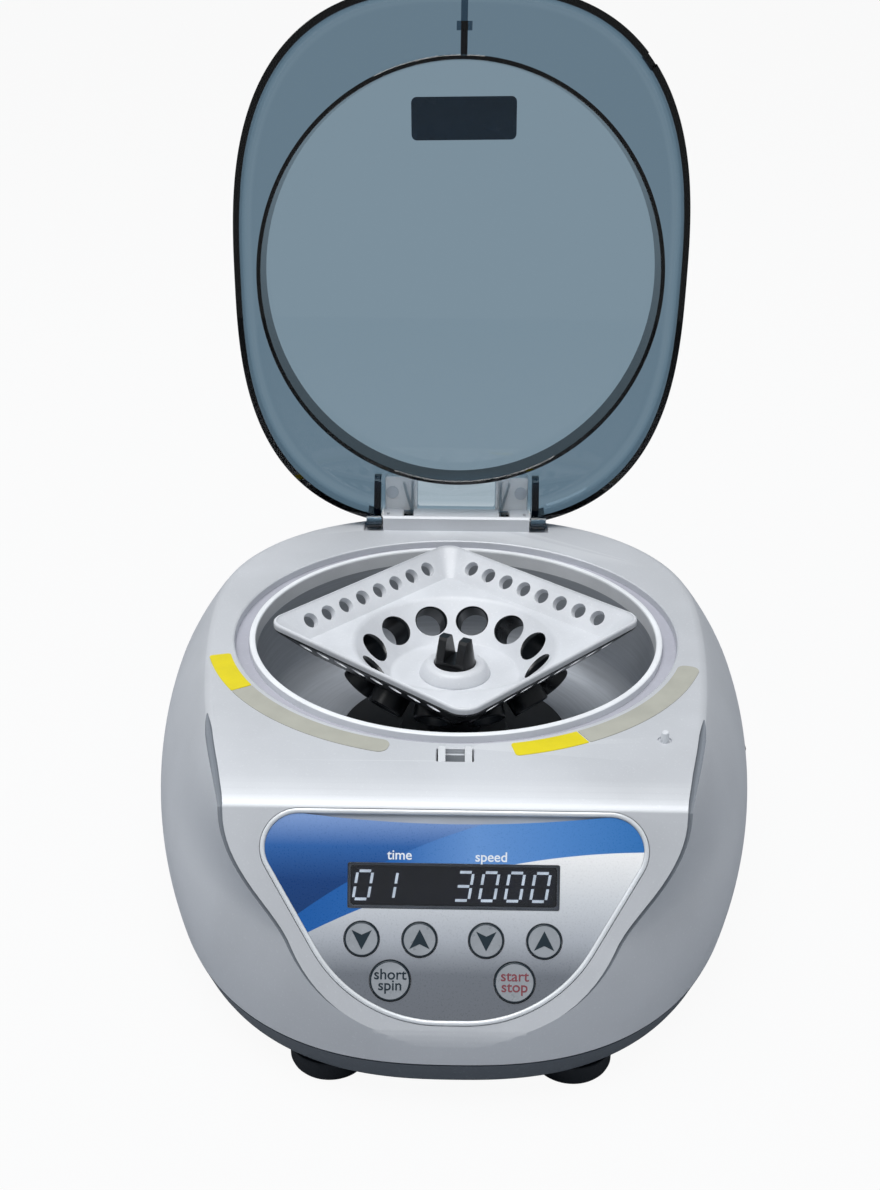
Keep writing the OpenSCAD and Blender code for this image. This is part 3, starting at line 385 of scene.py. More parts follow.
def moulded(name, code, worn, rough=0.4, grain=0.9, relief=0.08, patch=34, rub=0.35, **sockets):
    """Moulded, sprayed or printed finish. The tone drifts in patches, edges are rubbed to
    the worn colour and a fine grain, drawn a little coarse, breaks the highlights."""
    m, t, shader, place = new_material(name, **sockets)
    drift = node(t, "TexNoise", [("Vector", place)], in_Scale=1000 / patch, in_Detail=4.0)
    grit = node(t, "TexNoise", [("Vector", place)], in_Scale=1000 / grain, in_Detail=2.0)
    tone = node(t, "MapRange", [("Value", drift.outputs[0])], in_From_Min=0.35, in_From_Max=0.65)
    base = node(t, "Mix", [(0, tone.outputs[0])], data_type="RGBA", in_6=linear(code, 0.93),
                in_7=linear(code, 1.04))
    speck = node(t, "MapRange", [("Value", grit.outputs[0])], in_From_Min=0.6, in_From_Max=0.75,
                 in_To_Max=0.25)
    flecked = node(t, "Mix", [(0, speck.outputs[0]), (6, base.outputs[2])], data_type="RGBA",
                   in_7=linear(worn))
    shape = node(t, "NewGeometry")
    edge = node(t, "MapRange", [("Value", shape.outputs["Pointiness"])], in_From_Min=0.53,
                in_From_Max=0.63, in_To_Max=rub)
    colour = node(t, "Mix", [(0, edge.outputs[0]), (6, flecked.outputs[2])], data_type="RGBA",
                  in_7=linear(worn))
    gloss = node(t, "MapRange", [("Value", drift.outputs[0])], in_From_Min=0.3, in_From_Max=0.7,
                 in_To_Min=rough - 0.04, in_To_Max=rough + 0.06)
    bump = node(t, "Bump", [("Height", grit.outputs[0])], in_Strength=relief, in_Distance=grain / 3000)
    wire(t, shader, Base_Color=colour.outputs[2], Roughness=gloss.outputs[0], Normal=bump.outputs[0])
    return m


# Satin silver spray on ABS: flakes finer than can show are drawn at 0.7 mm as a
# faint sparkle, and the paint is rubbed a little paler on its edges.
silver_paint = moulded("silver_sprayed_abs", "C9CCD1", "E4E7EA", rough=0.46, grain=0.7, relief=0.05,
                       patch=60, rub=0.3, Metallic=0.2, Coat_Weight=0.05, Coat_Roughness=0.35)
# The two creases get a darker grey: painted shade for the shadow that falls in them.
crease_painted_shade = moulded("painted_shade_in_crease", "7A8088", "989EA5", rough=0.6, grain=0.7, patch=25)


def two_tone(o, dark, light_look, dark_look):
    """Gives a piece two materials; dark says which faces get the second one."""
    o.data.materials.append(light_look)
    o.data.materials.append(dark_look)
    for face in o.data.polygons:
        face.material_index = 1 if dark(face) else 0
    return o


two_tone(housing, lambda face: False, silver_paint, crease_painted_shade)
# The crease cutters carry the darker grey, so the groove faces come out in painted shade.
creases = gather("cuts", [crease(1), crease(-1)])
combine(housing, two_tone(creases, lambda face: True, silver_paint, crease_painted_shade), "DIFFERENCE")
seat(smooth(housing, 28), "base", "silver_plastic", silver_paint, "top_housing")


# Tray: the lower half, moulded in graphite ABS and left unpainted. It closes the
# housing from below, and screws through four deep pockets hold the two together.
FEET = [(39, -129.6), (-39, -129.6), (39, 82), (-39, 82)]
POSTS = [(90.65 * math.cos(a), 90.65 * math.sin(a)) for a in map(math.radians, (40, 140))]
POSTS += [(108.95 * math.cos(a), 108.95 * math.sin(a)) for a in map(math.radians, (-59.7, -120.3))]
side = [(0, 2.6), (.25, 1.5), (.8, .6), (1.6, .15), (2.6, 0), (4.5, 0), (6.5, 0), (8.2, 0), (8.6, .15),
        (8.75, .7), (9, .7)]
tray = solid("tray", [egg(LIFT + h, g) for h, g in side])
combine(tray, solid("hollow", [egg(LIFT + WALL, 4, 96), egg(SEAM - 1, 3.2, 96), egg(SEAM + 1, 3.2, 96)]),
        "DIFFERENCE")
screw_post = [(0, LIFT + 1), (5, LIFT + 1), (5, SEAM + 2), (0, SEAM + 2)]
motor_post = [(0, LIFT + 1), (6, LIFT + 1), (6, 28), (0, 28)]
posts = [lathe("post", screw_post, 32, at(x, y)) for x, y in POSTS]
posts += [lathe("post", motor_post, 32, at(34 * math.cos(a), 34 * math.sin(a)))
          for a in map(math.radians, (90, 210, 330))]
posts += [prism("post", rect(x - 4, x + 4, y, y + 8), LIFT + 1, LIFT + 10)
          for x in (-62, 62) for y in (-44, 36)]
combine(tray, gather("posts", posts), "UNION")
plug = [(0, 0), (11.1, 0), (11.1, 9.2), (0, 9.2)]
pocket = [(0, 0), (3.5, 0), (3.5, 13), (1.7, 13), (1.7, 30), (0, 30)]
cuts = [lathe("cut", plug, 64, at(x, y)) for x, y in FEET]
cuts += [lathe("cut", pocket, 32, at(x, y)) for x, y in POSTS]
cuts += [prism("cut", rect(x - 2, x + 2, -88, -54, 1.9), 0, 12) for x in range(-30, 31, 10)]
combine(tray, gather("cuts", cuts), "DIFFERENCE")
# Graphite ABS from a fine spark-eroded tool: a matt grain with no paint on it.
graphite = moulded("graphite_moulded_abs", "4D545C", "767E86", rough=0.5, grain=1.1, relief=0.14, patch=45)
seat(smooth(tray, 28), "base", "dark_plastic", graphite, "base_tray")


# Feet and screws: four pressed rubber feet plugged into the tray, and zinc-plated
# steel screws. The feet have a rounded tread edge.
def dress(name, look, edge=0.0):
    """Gives a carried-over piece its material, and edges rounded by edge in mm."""
    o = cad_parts[name]
    o.data.materials.clear()
    o.data.materials.append(look)
    if edge:
        weld = o.modifiers.new("weld", "WELD")
        weld.merge_threshold = 1e-6
        mod = o.modifiers.new("edge", "BEVEL")
        mod.width, mod.segments, mod.limit_method = edge / 1000, 2, "ANGLE"
        mod.angle_limit = math.radians(35)
        mod.harden_normals = True
    return o


foot = [(0, 0.5), (7, 0.5), (7.6, 0), (11.2, 0), (12.0, 0.3), (12.6, 1.1), (13, 2.2), (13, LIFT - 0.4),
        (12.8, LIFT - 0.1), (11, LIFT - 0.1), (11, LIFT + 1.2), (0, LIFT + 1.2)]
feet = gather("rubber_feet", [lathe("foot", foot, 96, at(x, y)) for x, y in FEET])
# Pressed nitrile rubber: nearly black, matt, with a dusty bloom on the edges.
rubber = moulded("pressed_nitrile_rubber", "030B14", "18202A", rough=0.6, grain=0.8, relief=0.2, patch=12,
                 Specular_IOR_Level=0.3)
seat(smooth(feet), "base", "rubber", rubber, "feet")


def bare_metal(name, code, rough=0.3, line=0.6, turned=False, **sockets):
    """Worked metal: fine lines, drawn at the width line in mm, run along the sheet or,
    on a turned piece, round its axis, and stains change the gloss in patches."""
    m, t, shader, place = new_material(name, Metallic=1.0, **sockets)
    parts = node(t, "SeparateXYZ", [(0, place)])
    if turned:
        flat = node(t, "VectorMath", [(0, place)], operation="MULTIPLY", in_1=(1, 1, 0))
        radius = node(t, "VectorMath", [(0, flat.outputs[0])], operation="LENGTH")
        angle = node(t, "Math", [(0, parts.outputs[1]), (1, parts.outputs[0])], operation="ARCTAN2")
        slow = node(t, "Math", [(0, angle.outputs[0])], operation="MULTIPLY", in_1=0.002)
        lines = node(t, "CombineXYZ", [(0, radius.outputs["Value"]), (1, slow.outputs[0]),
                                       (2, parts.outputs[2])])
    else:
        slow = node(t, "Math", [(0, parts.outputs[0])], operation="MULTIPLY", in_1=0.04)
        lines = node(t, "CombineXYZ", [(0, slow.outputs[0]), (1, parts.outputs[1]),
                                       (2, parts.outputs[2])])
    streak = node(t, "TexNoise", [("Vector", lines.outputs[0])], in_Scale=1000 / line, in_Detail=3.0)
    stain = node(t, "TexNoise", [("Vector", place)], in_Scale=1000 / 22, in_Detail=3.0)
    colour = node(t, "Mix", [(0, streak.outputs[0])], data_type="RGBA", in_6=linear(code, 0.78),
                  in_7=linear(code, 1.15))
    gloss = node(t, "MapRange", [("Value", stain.outputs[0])], in_From_Min=0.3, in_From_Max=0.7,
                 in_To_Min=rough - 0.06, in_To_Max=rough + 0.1)
    bump = node(t, "Bump", [("Height", streak.outputs[0])], in_Strength=0.12, in_Distance=line / 5000)
    wire(t, shader, Base_Color=colour.outputs[2], Roughness=gloss.outputs[0], Normal=bump.outputs[0])
    return m, t, shader, colour


# Zinc-plated steel: bright, slightly blue, with drawn lines.
zinc_steel = bare_metal("zinc_plated_steel", "B7BABF", 0.32)[0]
dress("base_screws", zinc_steel, 0.3)
dress("bowl_screws", zinc_steel)
dress("tower_screws", zinc_steel)


# Chamber: a grey ring under the deck makes the floor of the groove that the lid
# drops into. A white silicone seal stands inside it and rims the spun bowl.
GROOVE_Z, SEAL_R = 87.0, 75.3
collar = [(SEAL_R, 84), (84.05, 84), (84.05, 87.4), (GROOVE_R, 87.4), (80.4, 87.2), (80.1, GROOVE_Z),
          (75.6, GROOVE_Z), (SEAL_R, 86.8)]
groove_floor = lathe("groove_floor", collar, 288)
# Moulded ABS in a cooler grey, satin.
groove_grey = moulded("grey_moulded_abs", "A9AAB4", "C6C8CE", rough=0.42, patch=25)
seat(smooth(groove_floor), "base", "silver_plastic", groove_grey, "chamber_collar")

lip = [(72.9, 84), (SEAL_R, 84), (SEAL_R, 88.9), (75.2, 89.25), (74.9, 89.5), (74.4, 89.6), (73.7, 89.6),
       (73.2, 89.45), (72.95, 89.1), (72.9, 88.7)]
seal = lathe("seal_ring", lip, 288)
# Moulded silicone: white and soft to the light, with a slight dust bloom.
silicone = moulded("moulded_silicone", "E3E6EA", "F2F4F6", rough=0.45, grain=1.0, relief=0.06, patch=18,
                   Subsurface_Weight=0.1, Subsurface_Radius=(0.002, 0.002, 0.002))
seat(smooth(seal), "base", "seal_white", silicone, "chamber_seal")

SHADE_DISC_R = 43.3
arc = [math.radians(a) for a in range(-80, -9, 5)]
bowl = lathe("bowl", [(10, 44), (60.9, 44)] + [(60.7 + 14 * math.cos(a), 58 + 14 * math.sin(a)) for a in arc]
             + [(74.7, 60), (74.7, 81), (78.45, 81), (78.45, 84), (74.7, 84), (72.9, 84), (72.9, 58)]
             + [(60.9 + 12 * math.cos(a), 58 + 12 * math.sin(a)) for a in reversed(arc)]
             + [(SHADE_DISC_R + 0.3, 46), (SHADE_DISC_R, 46.3), (22, 46.3), (21.2, 46.6), (20, 49), (10, 49)], 256)
# Spun aluminium, dulled by etching, with its lines round the axis. A disc in the middle
# of the floor, 0.3 mm proud, is painted near-black and not metallic: painted shade under the rotor.
aluminium, t, shader, colour = bare_metal("spun_aluminium", "B0B5BC", 0.46, 0.9, turned=True)
place = node(t, "TexCoord").outputs["Object"]
flat = node(t, "VectorMath", [(0, place)], operation="MULTIPLY", in_1=(1, 1, 0))
radius = node(t, "VectorMath", [(0, flat.outputs[0])], operation="LENGTH")
# Inside this radius the colour is near-black: painted shade under the rotor.
painted_shade_disc = node(t, "Math", [(0, radius.outputs["Value"])], operation="LESS_THAN", in_1=SHADE_DISC_R / 1000)
metal = node(t, "MapRange", [("Value", painted_shade_disc.outputs[0])], in_To_Min=0.4, in_To_Max=0.0)
both = node(t, "Mix", [(0, painted_shade_disc.outputs[0]), (6, colour.outputs[2])], data_type="RGBA",
            in_7=linear("07080B"))
wire(t, shader, Base_Color=both.outputs[2], Metallic=metal.outputs[0])
seat(smooth(bowl), "base", "bowl_metal", aluminium, "chamber_bowl")
dress("shaft_seal", rubber, 0.3)


# Drive: a small motor on an isolated plate under the bowl, with its boards. None
# of it shows from outside, but it is finished like the rest.
# Dip paint on pressed steel: an even black with a low gloss, thin on its edges.
motor_paint = moulded("black_cathodic_paint_on_steel", "24262B", "6C7076", rough=0.38, grain=0.8,
                      relief=0.06, patch=15, Metallic=0.4)
dress("motor_body", motor_paint, 0.4)
dress("motor_plate", zinc_steel, 0.3)
dress("motor_isolators", rubber, 0.4)
# Ground steel: bright, with fine lines round the axis, drawn 0.5 mm wide.
shaft_steel = bare_metal("ground_steel", "C3C5C8", 0.2, 0.5, turned=True)[0]
dress("motor_shaft", shaft_steel, 0.3)
# Glass-epoxy board under green lacquer: tracks, drawn 0.7 mm wide, show through.
board, t, shader, place = new_material("glass_epoxy_board", Roughness=0.35)
tracks = node(t, "TexBrick", [("Vector", place)], in_Scale=1000 / 6, in_Mortar_Size=0.06,
              in_Color1=linear("1D5A38"), in_Color2=linear("194F31"), in_Mortar=linear("3C8058"))
lift = node(t, "Bump", [("Height", tracks.outputs[1])], in_Strength=0.3, in_Distance=0.00006)
wire(t, shader, Base_Color=tracks.outputs[0], Normal=lift.outputs[0])
dress("control_board", board)
dress("key_board", board)
# Moulded nylon: black and rather glossy, hardly paler on its edges.
nylon = moulded("moulded_black_nylon", "05070A", "23272D", rough=0.3, grain=0.7, relief=0.06, patch=10,
                rub=0.2)
dress("board_parts", nylon, 0.4)
dress("latch_solenoid", motor_paint, 0.4)
dress("safety_switch", nylon, 0.3)


# Rotor: a square pan moulded in white polypropylene, with four rows of strip
# sockets in its slanting sides and twelve tube sockets in the cone in its middle.
ROTOR_TURN = math.radians(2.7)
SPIN = Matrix.Rotation(ROTOR_TURN, 4, "Z")
FLAT_Z, FLOOR_Z, RIM_Z, STRIP_Z = 85.4, 71.9, 94.4, 90.4


def square(half, z, r):
    return [(x, y, z) for x, y in rect(-half, half, -half, half, r, 12)]


def tilted(angle, radius, z, along=0.0):
    """Frame at an angle and radius, whose z axis points down and outward at 45 degrees."""
    return (Matrix.Rotation(angle, 4, "Z") @ at(radius, along, z)
            @ Matrix.Rotation(math.radians(135), 4, "Y"))


# Polypropylene moulded white: waxy, with light going a little way in. A near-black
# copy of it is painted shade under the rotor and in its sockets, so only edges gleam in the bowl.
white_pp = moulded("moulded_white_polypropylene", "D0D3D8", "EEF0F3", rough=0.38, grain=1.0, relief=0.06,
                   patch=20, Subsurface_Weight=0.08, Subsurface_Radius=(0.0015, 0.0015, 0.0015))
painted_shade_pp = moulded("polypropylene_painted_shade", "101418", "262C33", rough=0.3, grain=1.0, relief=0.06,
                   patch=14)

diamond = SPIN @ Matrix.Rotation(math.pi / 4, 4, "Z")
pan = [(36, 81.2, 5), (38.6, 81.35, 6), (39.6, 81.9, 7), (48.4, 90.9, 7), (48.85, 91.5, 7), (49, 92.1, 7),
       (49, 93.5, 7), (48.9, 93.9, 6.9), (48.65, 94.2, 6.7), (48.3, RIM_Z, 6.4)]
rotor = solid("rotor_pan", [square(*step) for step in pan], diamond)
# Faces that point down get the near-black copy: painted shade under the pan.
two_tone(rotor, lambda face: face.normal.z < -0.1, white_pp, painted_shade_pp)
recess = [(39.2, FLAT_Z, 3), (39.25, 85.43, 3), (39.45, 85.5, 3.1), (47.5, 93.5, 6.1), (47.9, 94.0, 6.3),
          (48.15, 94.6, 6.5), (48.15, 97, 6.5)]
combine(rotor, solid("recess", [square(*step) for step in recess], diamond), "DIFFERENCE")
cone = lathe("cone", [(0, 68.7), (22.2, 68.7), (22.8, 68.9), (37.1, 81.1), (37.1, 82), (0, 82)], 192, SPIN)
combine(rotor, two_tone(cone, lambda face: True, white_pp, painted_shade_pp), "UNION")
tubes = [math.radians(15 + 30 * i) for i in range(12)]
sleeve = [(0, 0), (6.9, 0), (6.9, 8.6), (6.6, 9), (0, 9)]
sleeves = gather("sleeves", [lathe("sleeve", sleeve, 48, SPIN @ tilted(a, 31, 78.4)) for a in tubes])
combine(rotor, two_tone(sleeves, lambda face: True, white_pp, painted_shade_pp), "UNION")
dish = [(0, FLOOR_Z), (23.0, FLOOR_Z), (23.8, 72.05), (24.5, 72.4), (36.4, 84.3), (37.0, 84.8), (37.8, 85.2),
        (38.9, 85.43), (38.9, 86.4), (0, 86.4)]
combine(rotor, lathe("dish", dish, 192, SPIN), "DIFFERENCE")
boss = [(0, 70), (13.2, 70), (13.2, 72.3), (13.05, 72.9), (12.3, 74.3), (11.5, 75.4), (10.9, 76.0),
        (10.2, 76.35), (9.4, 76.5), (0, 76.5)]
combine(rotor, lathe("boss", boss, 128, SPIN), "UNION")
cuts = [lathe("bore", [(0, 60), (7.75, 60), (7.75, 76.2), (8.1, 76.6), (0, 76.6)], 96)]
socket = [(0, -6), (6.35, -6), (6.35, -0.8), (6.0, -0.35), (5.75, 0.05), (5.6, 0.6), (5.6, 22), (0, 22)]
# The socket bores carry the near-black copy: painted shade inside the tube sockets.
for a in tubes:
    bore = lathe("socket", socket, 64, SPIN @ tilted(a, 31, 78.4))
    cuts.append(two_tone(bore, lambda face: True, white_pp, painted_shade_pp))
strip = [(0, -1.2), (3.65, -1.2), (3.55, -0.45), (3.3, -0.1), (3.05, 0.25), (1.95, 7.8), (0, 7.8)]
for q in range(4):
    for k in range(8):
        frame_at = tilted(math.radians(45 + 90 * q), 43.2, STRIP_Z, 9 * (k - 3.5))
        cuts.append(lathe("strip", strip, 40, SPIN @ frame_at))
combine(rotor, gather("cuts", cuts), "DIFFERENCE")
seat(smooth(rotor, 32), "rotor_group", "rotor_white", white_pp, "rotor")
dress("drive_hub", nylon, 0.45)


# Lid: one moulding in clear acrylic, tinted smoke-blue all through, so every wall
# that is seen on its edge goes dark. Ring, hook, arms, ears and ribs are part of it.
LID_A, LID_F, LID_B, LID_CUT = 88.0, 101.6, 98.0, 96.2
PLATE_Z = 102.8
PIVOT_Y, PIVOT_Z = 95.6, 92.4
OPEN = (at(0, PIVOT_Y, PIVOT_Z) @ Matrix.Rotation(math.radians(-96), 4, "X")
        @ at(0, -PIVOT_Y, -PIVOT_Z))


def lid_ring(g, z, n=288):
    out = []
    for i in range(n):
        c, s = math.cos(2 * math.pi * i / n), math.sin(2 * math.pi * i / n)
        y = ((LID_F if s < 0 else LID_B) - g) * power(s, 2 / 2.75)
        out.append(((LID_A - g) * power(c, 2 / 2.75), min(y, LID_CUT - g), z))
    return out


outer = [(.5, 91.2), (.15, 91.35), (0, 91.7), (.1, 95.5), (.2, 99.8), (.5, 101.6), (1, 102.8), (1.8, 103.7),
         (2.8, 104.4), (4.2, 104.95), (6, 105.2), (9, 105.2)]
lid = solid("lid", [lid_ring(g, z) for g, z in outer])
inner = [(2.4, 90), (2.6, 100.2), (2.9, 101.2), (3.6, 102.0), (4.8, 102.5), (8, 102.5)]
combine(lid, solid("hollow", [lid_ring(g, z) for g, z in inner]), "DIFFERENCE")
combine(lid, lathe("disc", [(0, 102), (77.4, 102), (77.4, 103.1), (0, 103.1)], 288), "DIFFERENCE")
combine(lid, prism("thin", rect(-16.3, 16.3, 79.8, 92.2, 1), 101, 103.9), "DIFFERENCE")
combine(lid, prism("notch", rect(-31.3, 31.3, 89.6, 109.6, 0.6), 85, 102.5), "DIFFERENCE")


def arm(x0, x1):
    """Arm down to the hinge pin, rounded round it."""
    turns = [math.radians(a) for a in range(162, 439, 6)]
    outline = [(PIVOT_Y + 3.1 * math.cos(a), PIVOT_Z + 3.1 * math.sin(a)) for a in turns]
    outline += [(PIVOT_Y + 0.6, 103.3), (PIVOT_Y - 2.9, 103.3)]
    return prism("arm", outline, x0, x1, SIDEWAYS)


ring = [(77.4, 88.1), (77.7, 87.8), (78.7, 87.8), (79, 88.1), (79, 103.6), (76.8, 103.6)]
hook = [(-2.8, 82), (2.8, 82), (2.8, 84.5), (1.25, 84.5), (1.25, 103.3), (-1.25, 103.3), (-1.25, 84.5),
        (-2.8, 84.5)]
pieces = [lathe("ring", ring, 288), prism("hook", hook, 86.7, 89.7, BACKWARD), arm(18, 22), arm(-22, -18),
          arm(31.3, 37.5), arm(-37.5, -31.3)]
combine(lid, gather("pieces", pieces), "UNION")


def gusset(x0, x1):
    """Side wall of the hinge pocket, which joins an ear to the plate and the skirt."""
    outline = rounded([(PIVOT_Y - 17, 103.2), (PIVOT_Y - 17, 98), (PIVOT_Y - 6, 91.6), (PIVOT_Y + 0.5, 91.6),
                       (PIVOT_Y + 0.5, 103.2)], [0.3, 3, 3, 0.3, 0.3])
    return prism("gusset", outline, x0, x1, SIDEWAYS)


combine(lid, gather("gussets", [gusset(31.5, 34.4), gusset(-34.4, -31.5)]), "UNION")


def rib(s, lean):
    """Thin rib that runs from an arm toward the ring."""
    root = at(s * 18.5, PIVOT_Y - 2) @ Matrix.Rotation(lean, 4, "Z")
    return prism("rib", [(-.5, -13), (.5, -13), (.5, 0), (-.5, 0)], PLATE_Z - 5, PLATE_Z + 0.2, root)


spine = [(-1.25, -88.2), (1.25, -88.2), (1.25, -78), (-1.25, -78)]
spine_end = [(-1.25, -100.4), (1.25, -100.4), (1.25, -88.4), (-1.25, -88.4)]
combine(lid, gather("ribs", [rib(1, 0), rib(-1, 0), prism("rib", spine, 91.6, 103.2)]), "UNION")
combine(lid, gather("ribs", [rib(1, math.radians(16)), rib(-1, math.radians(-16)),
                             prism("rib", spine_end, 99.8, 103.2)]), "UNION")
pin_bore = [(PIVOT_Y + 1.55 * math.cos(a), PIVOT_Z + 1.55 * math.sin(a))
            for a in [math.pi * i / 16 for i in range(32)]]
combine(lid, gather("cuts", [prism("bore", pin_bore, -60, 60, SIDEWAYS),
                             lathe("cut", [(0, 88), (3, 88), (3, 95), (0, 95)], 48, at(PIN_X, PIN_Y))]),
        "DIFFERENCE")
lid.data.transform(OPEN)
# Smoke acrylic, injection moulded and polished by its tool: the tint is in the
# depth. The plate, 2.1 to 2.7 mm thick, lets about a quarter of the light through,
# and a wall seen on edge goes dark. Wiping leaves a faint haze.
smoke, t, shader, place = new_material("smoke_tinted_acrylic", Base_Color=(1, 1, 1, 1),
                                       Transmission_Weight=1.0, IOR=1.49)
haze = node(t, "TexNoise", [("Vector", place)], in_Scale=1000 / 55, in_Detail=3.0)
gloss = node(t, "MapRange", [("Value", haze.outputs[0])], in_From_Min=0.4, in_From_Max=0.7,
             in_To_Min=0.0, in_To_Max=0.05)
ripple = node(t, "Bump", [("Height", haze.outputs[0])], in_Strength=0.02, in_Distance=0.0003)
wire(t, shader, Roughness=gloss.outputs[0], Normal=ripple.outputs[0])
tint = node(t, "VolumeAbsorption", in_Color=linear("2F85A1"), in_Density=760)
t.links.new(tint.outputs[0], t.nodes["Material Output"].inputs["Volume"])
seat(smooth(lid, 25), "lid", "smoke_clear", smoke, "lid_shell")

# Hinge plates: two white ABS pads screwed inside the lid at the arms, each with
# a thin wall along its inner side and a round screw cap.
plates = []
for s in (-1, 1):
    x0, x1 = sorted((s * 16.5, s * 29.9))
    y0, y1 = PIVOT_Y - 17.1, PIVOT_Y - 2.1
    pad = [[(x, y, z) for x, y in rect(x0 + g, x1 - g, y0 + g, y1 - g, 1.2)]
           for g, z in ((.3, PLATE_Z - 4.3), (0, PLATE_Z - 4.0), (0, PLATE_Z - 0.05))]
    plates.append(solid("pad", pad))
    wall_x = sorted((s * 16.5, s * 17.2))
    plates.append(prism("wall", rect(*wall_x, y0, y1 - 2.6, 0.3), PLATE_Z - 5.2, PLATE_Z - 4.35))
plates = gather("hinge_pads", plates)
plates.data.transform(OPEN)
# White ABS from a smooth tool: clean, with a soft gloss. The caps have greyed.
white_abs = moulded("white_moulded_abs", "F0F3F6", "FAFBFC", rough=0.3, grain=0.9, relief=0.05, patch=14)
seat(smooth(plates), "lid", "bracket_white", white_abs, "lid_plates")
cap_white = moulded("white_screw_cap_abs", "CDD4DC", "A9B1BB", rough=0.35, grain=0.8, relief=0.05, patch=8)
dress("lid_plate_screws", cap_white, 0.12)
# Printed polyester film, blue-grey, stuck on the outside and left blank. Through
# the smoke-tinted plate it looks nearly black.
label_film = moulded("blue_grey_polyester_film", "8FA9BB", "9DB4C4", rough=0.25, grain=1.5, relief=0.04,
                     patch=12)
dress("lid_sticker", label_film, 0.06)


# Hinge tower: a block moulded in silver ABS and screwed to the deck. A steel pin
# runs through it and through the arms and ears of the lid.
dress("hinge_tower", silver_paint, 0.35)
dress("hinge_pin", shaft_steel, 0.3)

# Latch: a guide moulded in grey ABS with two ears that stand out of the deck, and
# a stamped steel bolt, moved by a solenoid, that catches the hook of the lid.
guide_grey = moulded("grey_guide_abs", "BFC3C8", "DFE2E5", rough=0.36, grain=0.8, relief=0.06, patch=9)
dress("latch_guide", guide_grey, 0.3)
dress("latch_bolt", zinc_steel, 0.2)
# Safety pin: a white acetal pin that the closed lid pushes down on to a switch.
acetal = moulded("turned_white_acetal", "D9DDE2", "F2F4F6", rough=0.3, grain=0.7, relief=0.05, patch=6)
dress("safety_pin", acetal, 0.3)


# Bezel: a shallow frame in the slope. Its bright rounded rim is moulded with a
# grey seat on which the printed film lies.
rim = [(0, -1.8), (0, -0.1), (-0.12, 0.15), (-0.4, 0.34), (-0.75, 0.4), (-1.1, 0.34), (-1.4, 0.12),
       (-1.55, -0.2), (-1.6, -0.95)]
bezel = solid("panel_rim", [[(x, y, z) for x, y in shield(g)] for g, z in rim], ON_SLOPE)
WINDOW = (-31.9, 31.9, -WINDOW_ROW - 6.7, -WINDOW_ROW + 6.7)
ARROW_R, RUN_R = 5.3, 6.2


def panel_cuts(gap, low, high):
    """Cutters for the window and the six keys, with a gap round each."""
    x0, x1, y0, y1 = WINDOW
    out = [prism("cut", rect(x0 - gap, x1 + gap, y0 - gap, y1 + gap, 0.6), low, high, ON_SLOPE)]
    for name, (x, v) in KEYS.items():
        r = (ARROW_R if v == KEY_ROW else RUN_R) + gap
        out.append(lathe("cut", [(0, low), (r, low), (r, high), (0, high)], 96, ON_SLOPE @ at(x, -v)))
    return gather("cuts", out)


combine(bezel, panel_cuts(0.3, -3, 2), "DIFFERENCE")
smooth(bezel)
# Satin chrome paint on the rim catches a white line; the seat is a plain grey.
rim_paint = moulded("rim_chrome_paint_on_abs", "E2E6EA", "F6F8FA", rough=0.22, grain=0.7, relief=0.03,
                    patch=20, Metallic=0.1)
seat_grey = moulded("panel_seat_grey_abs", "B6BBC1", "C6CACE", rough=0.4, grain=0.8, relief=0.05, patch=20)
seat(bezel, "base", "bright_trim", (rim_paint, seat_grey), "panel_bezel")
to_slope = ON_SLOPE.inverted()
for face in bezel.data.polygons:
    if (to_slope @ face.center).z < -0.0005:
        face.material_index = 1

# Film: polycarbonate printed from behind in blue over silver, glued on its seat,
# with a plain two-tone sweep of blue. Its top edge dips in a long shallow curve.
FILM_TOP = -0.1
film = prism("panel_print", shield(-1.62), -0.9, FILM_TOP, ON_SLOPE)
dip_r, dip = 392.0, 4.0
combine(film, prism("cut", [(dip_r * math.sin(a), dip_r - dip - dip_r * math.cos(a))
                            for a in [0.18 * (i / 40 - 1) for i in range(81)]] + [(75, 20), (-75, 20)],
                    -3, 2, ON_SLOPE), "DIFFERENCE")
combine(film, panel_cuts(0.3, -3, 2), "DIFFERENCE")
printed, t, shader, place = new_material("printed_polycarbonate", Coat_Weight=0.3, Coat_Roughness=0.08)
axes = ((1, 0, 0), (0, math.sin(SLOPE), math.cos(SLOPE)))
shifted = node(t, "VectorMath", [(0, place)], operation="SUBTRACT",
               in_1=(0, LEAD[0] / 1000, LEAD[1] / 1000))
u, v = [node(t, "VectorMath", [(0, shifted.outputs[0])], operation="DOT_PRODUCT",
             in_1=a).outputs["Value"] for a in axes]
on_film = node(t, "CombineXYZ", [(0, u), (1, v)]).outputs[0]


def printed_tones(source, low, high, *stops):
    """Colours spread over source from low to high in mm, as (place, hex) stops."""
    span = node(t, "MapRange", [("Value", source)], in_From_Min=low / 1000, in_From_Max=high / 1000)
    n = node(t, "ValToRGB", [(0, span.outputs[0])])
    while len(n.color_ramp.elements) < len(stops):
        n.color_ramp.elements.new(0.5)
    for e, (where, code) in zip(n.color_ramp.elements, stops):
        e.position, e.color = where, linear(code)
    return n.outputs[0]


def inside(centre, r):
    """1 inside a circle on the film, 0 outside, with a soft printed edge."""
    away = node(t, "VectorMath", [(0, on_film)], operation="DISTANCE",
                in_1=(centre[0] / 1000, centre[1] / 1000, 0))
    return node(t, "MapRange", [("Value", away.outputs["Value"])], in_From_Min=(r + 0.06) / 1000,
                in_From_Max=(r - 0.06) / 1000).outputs[0]


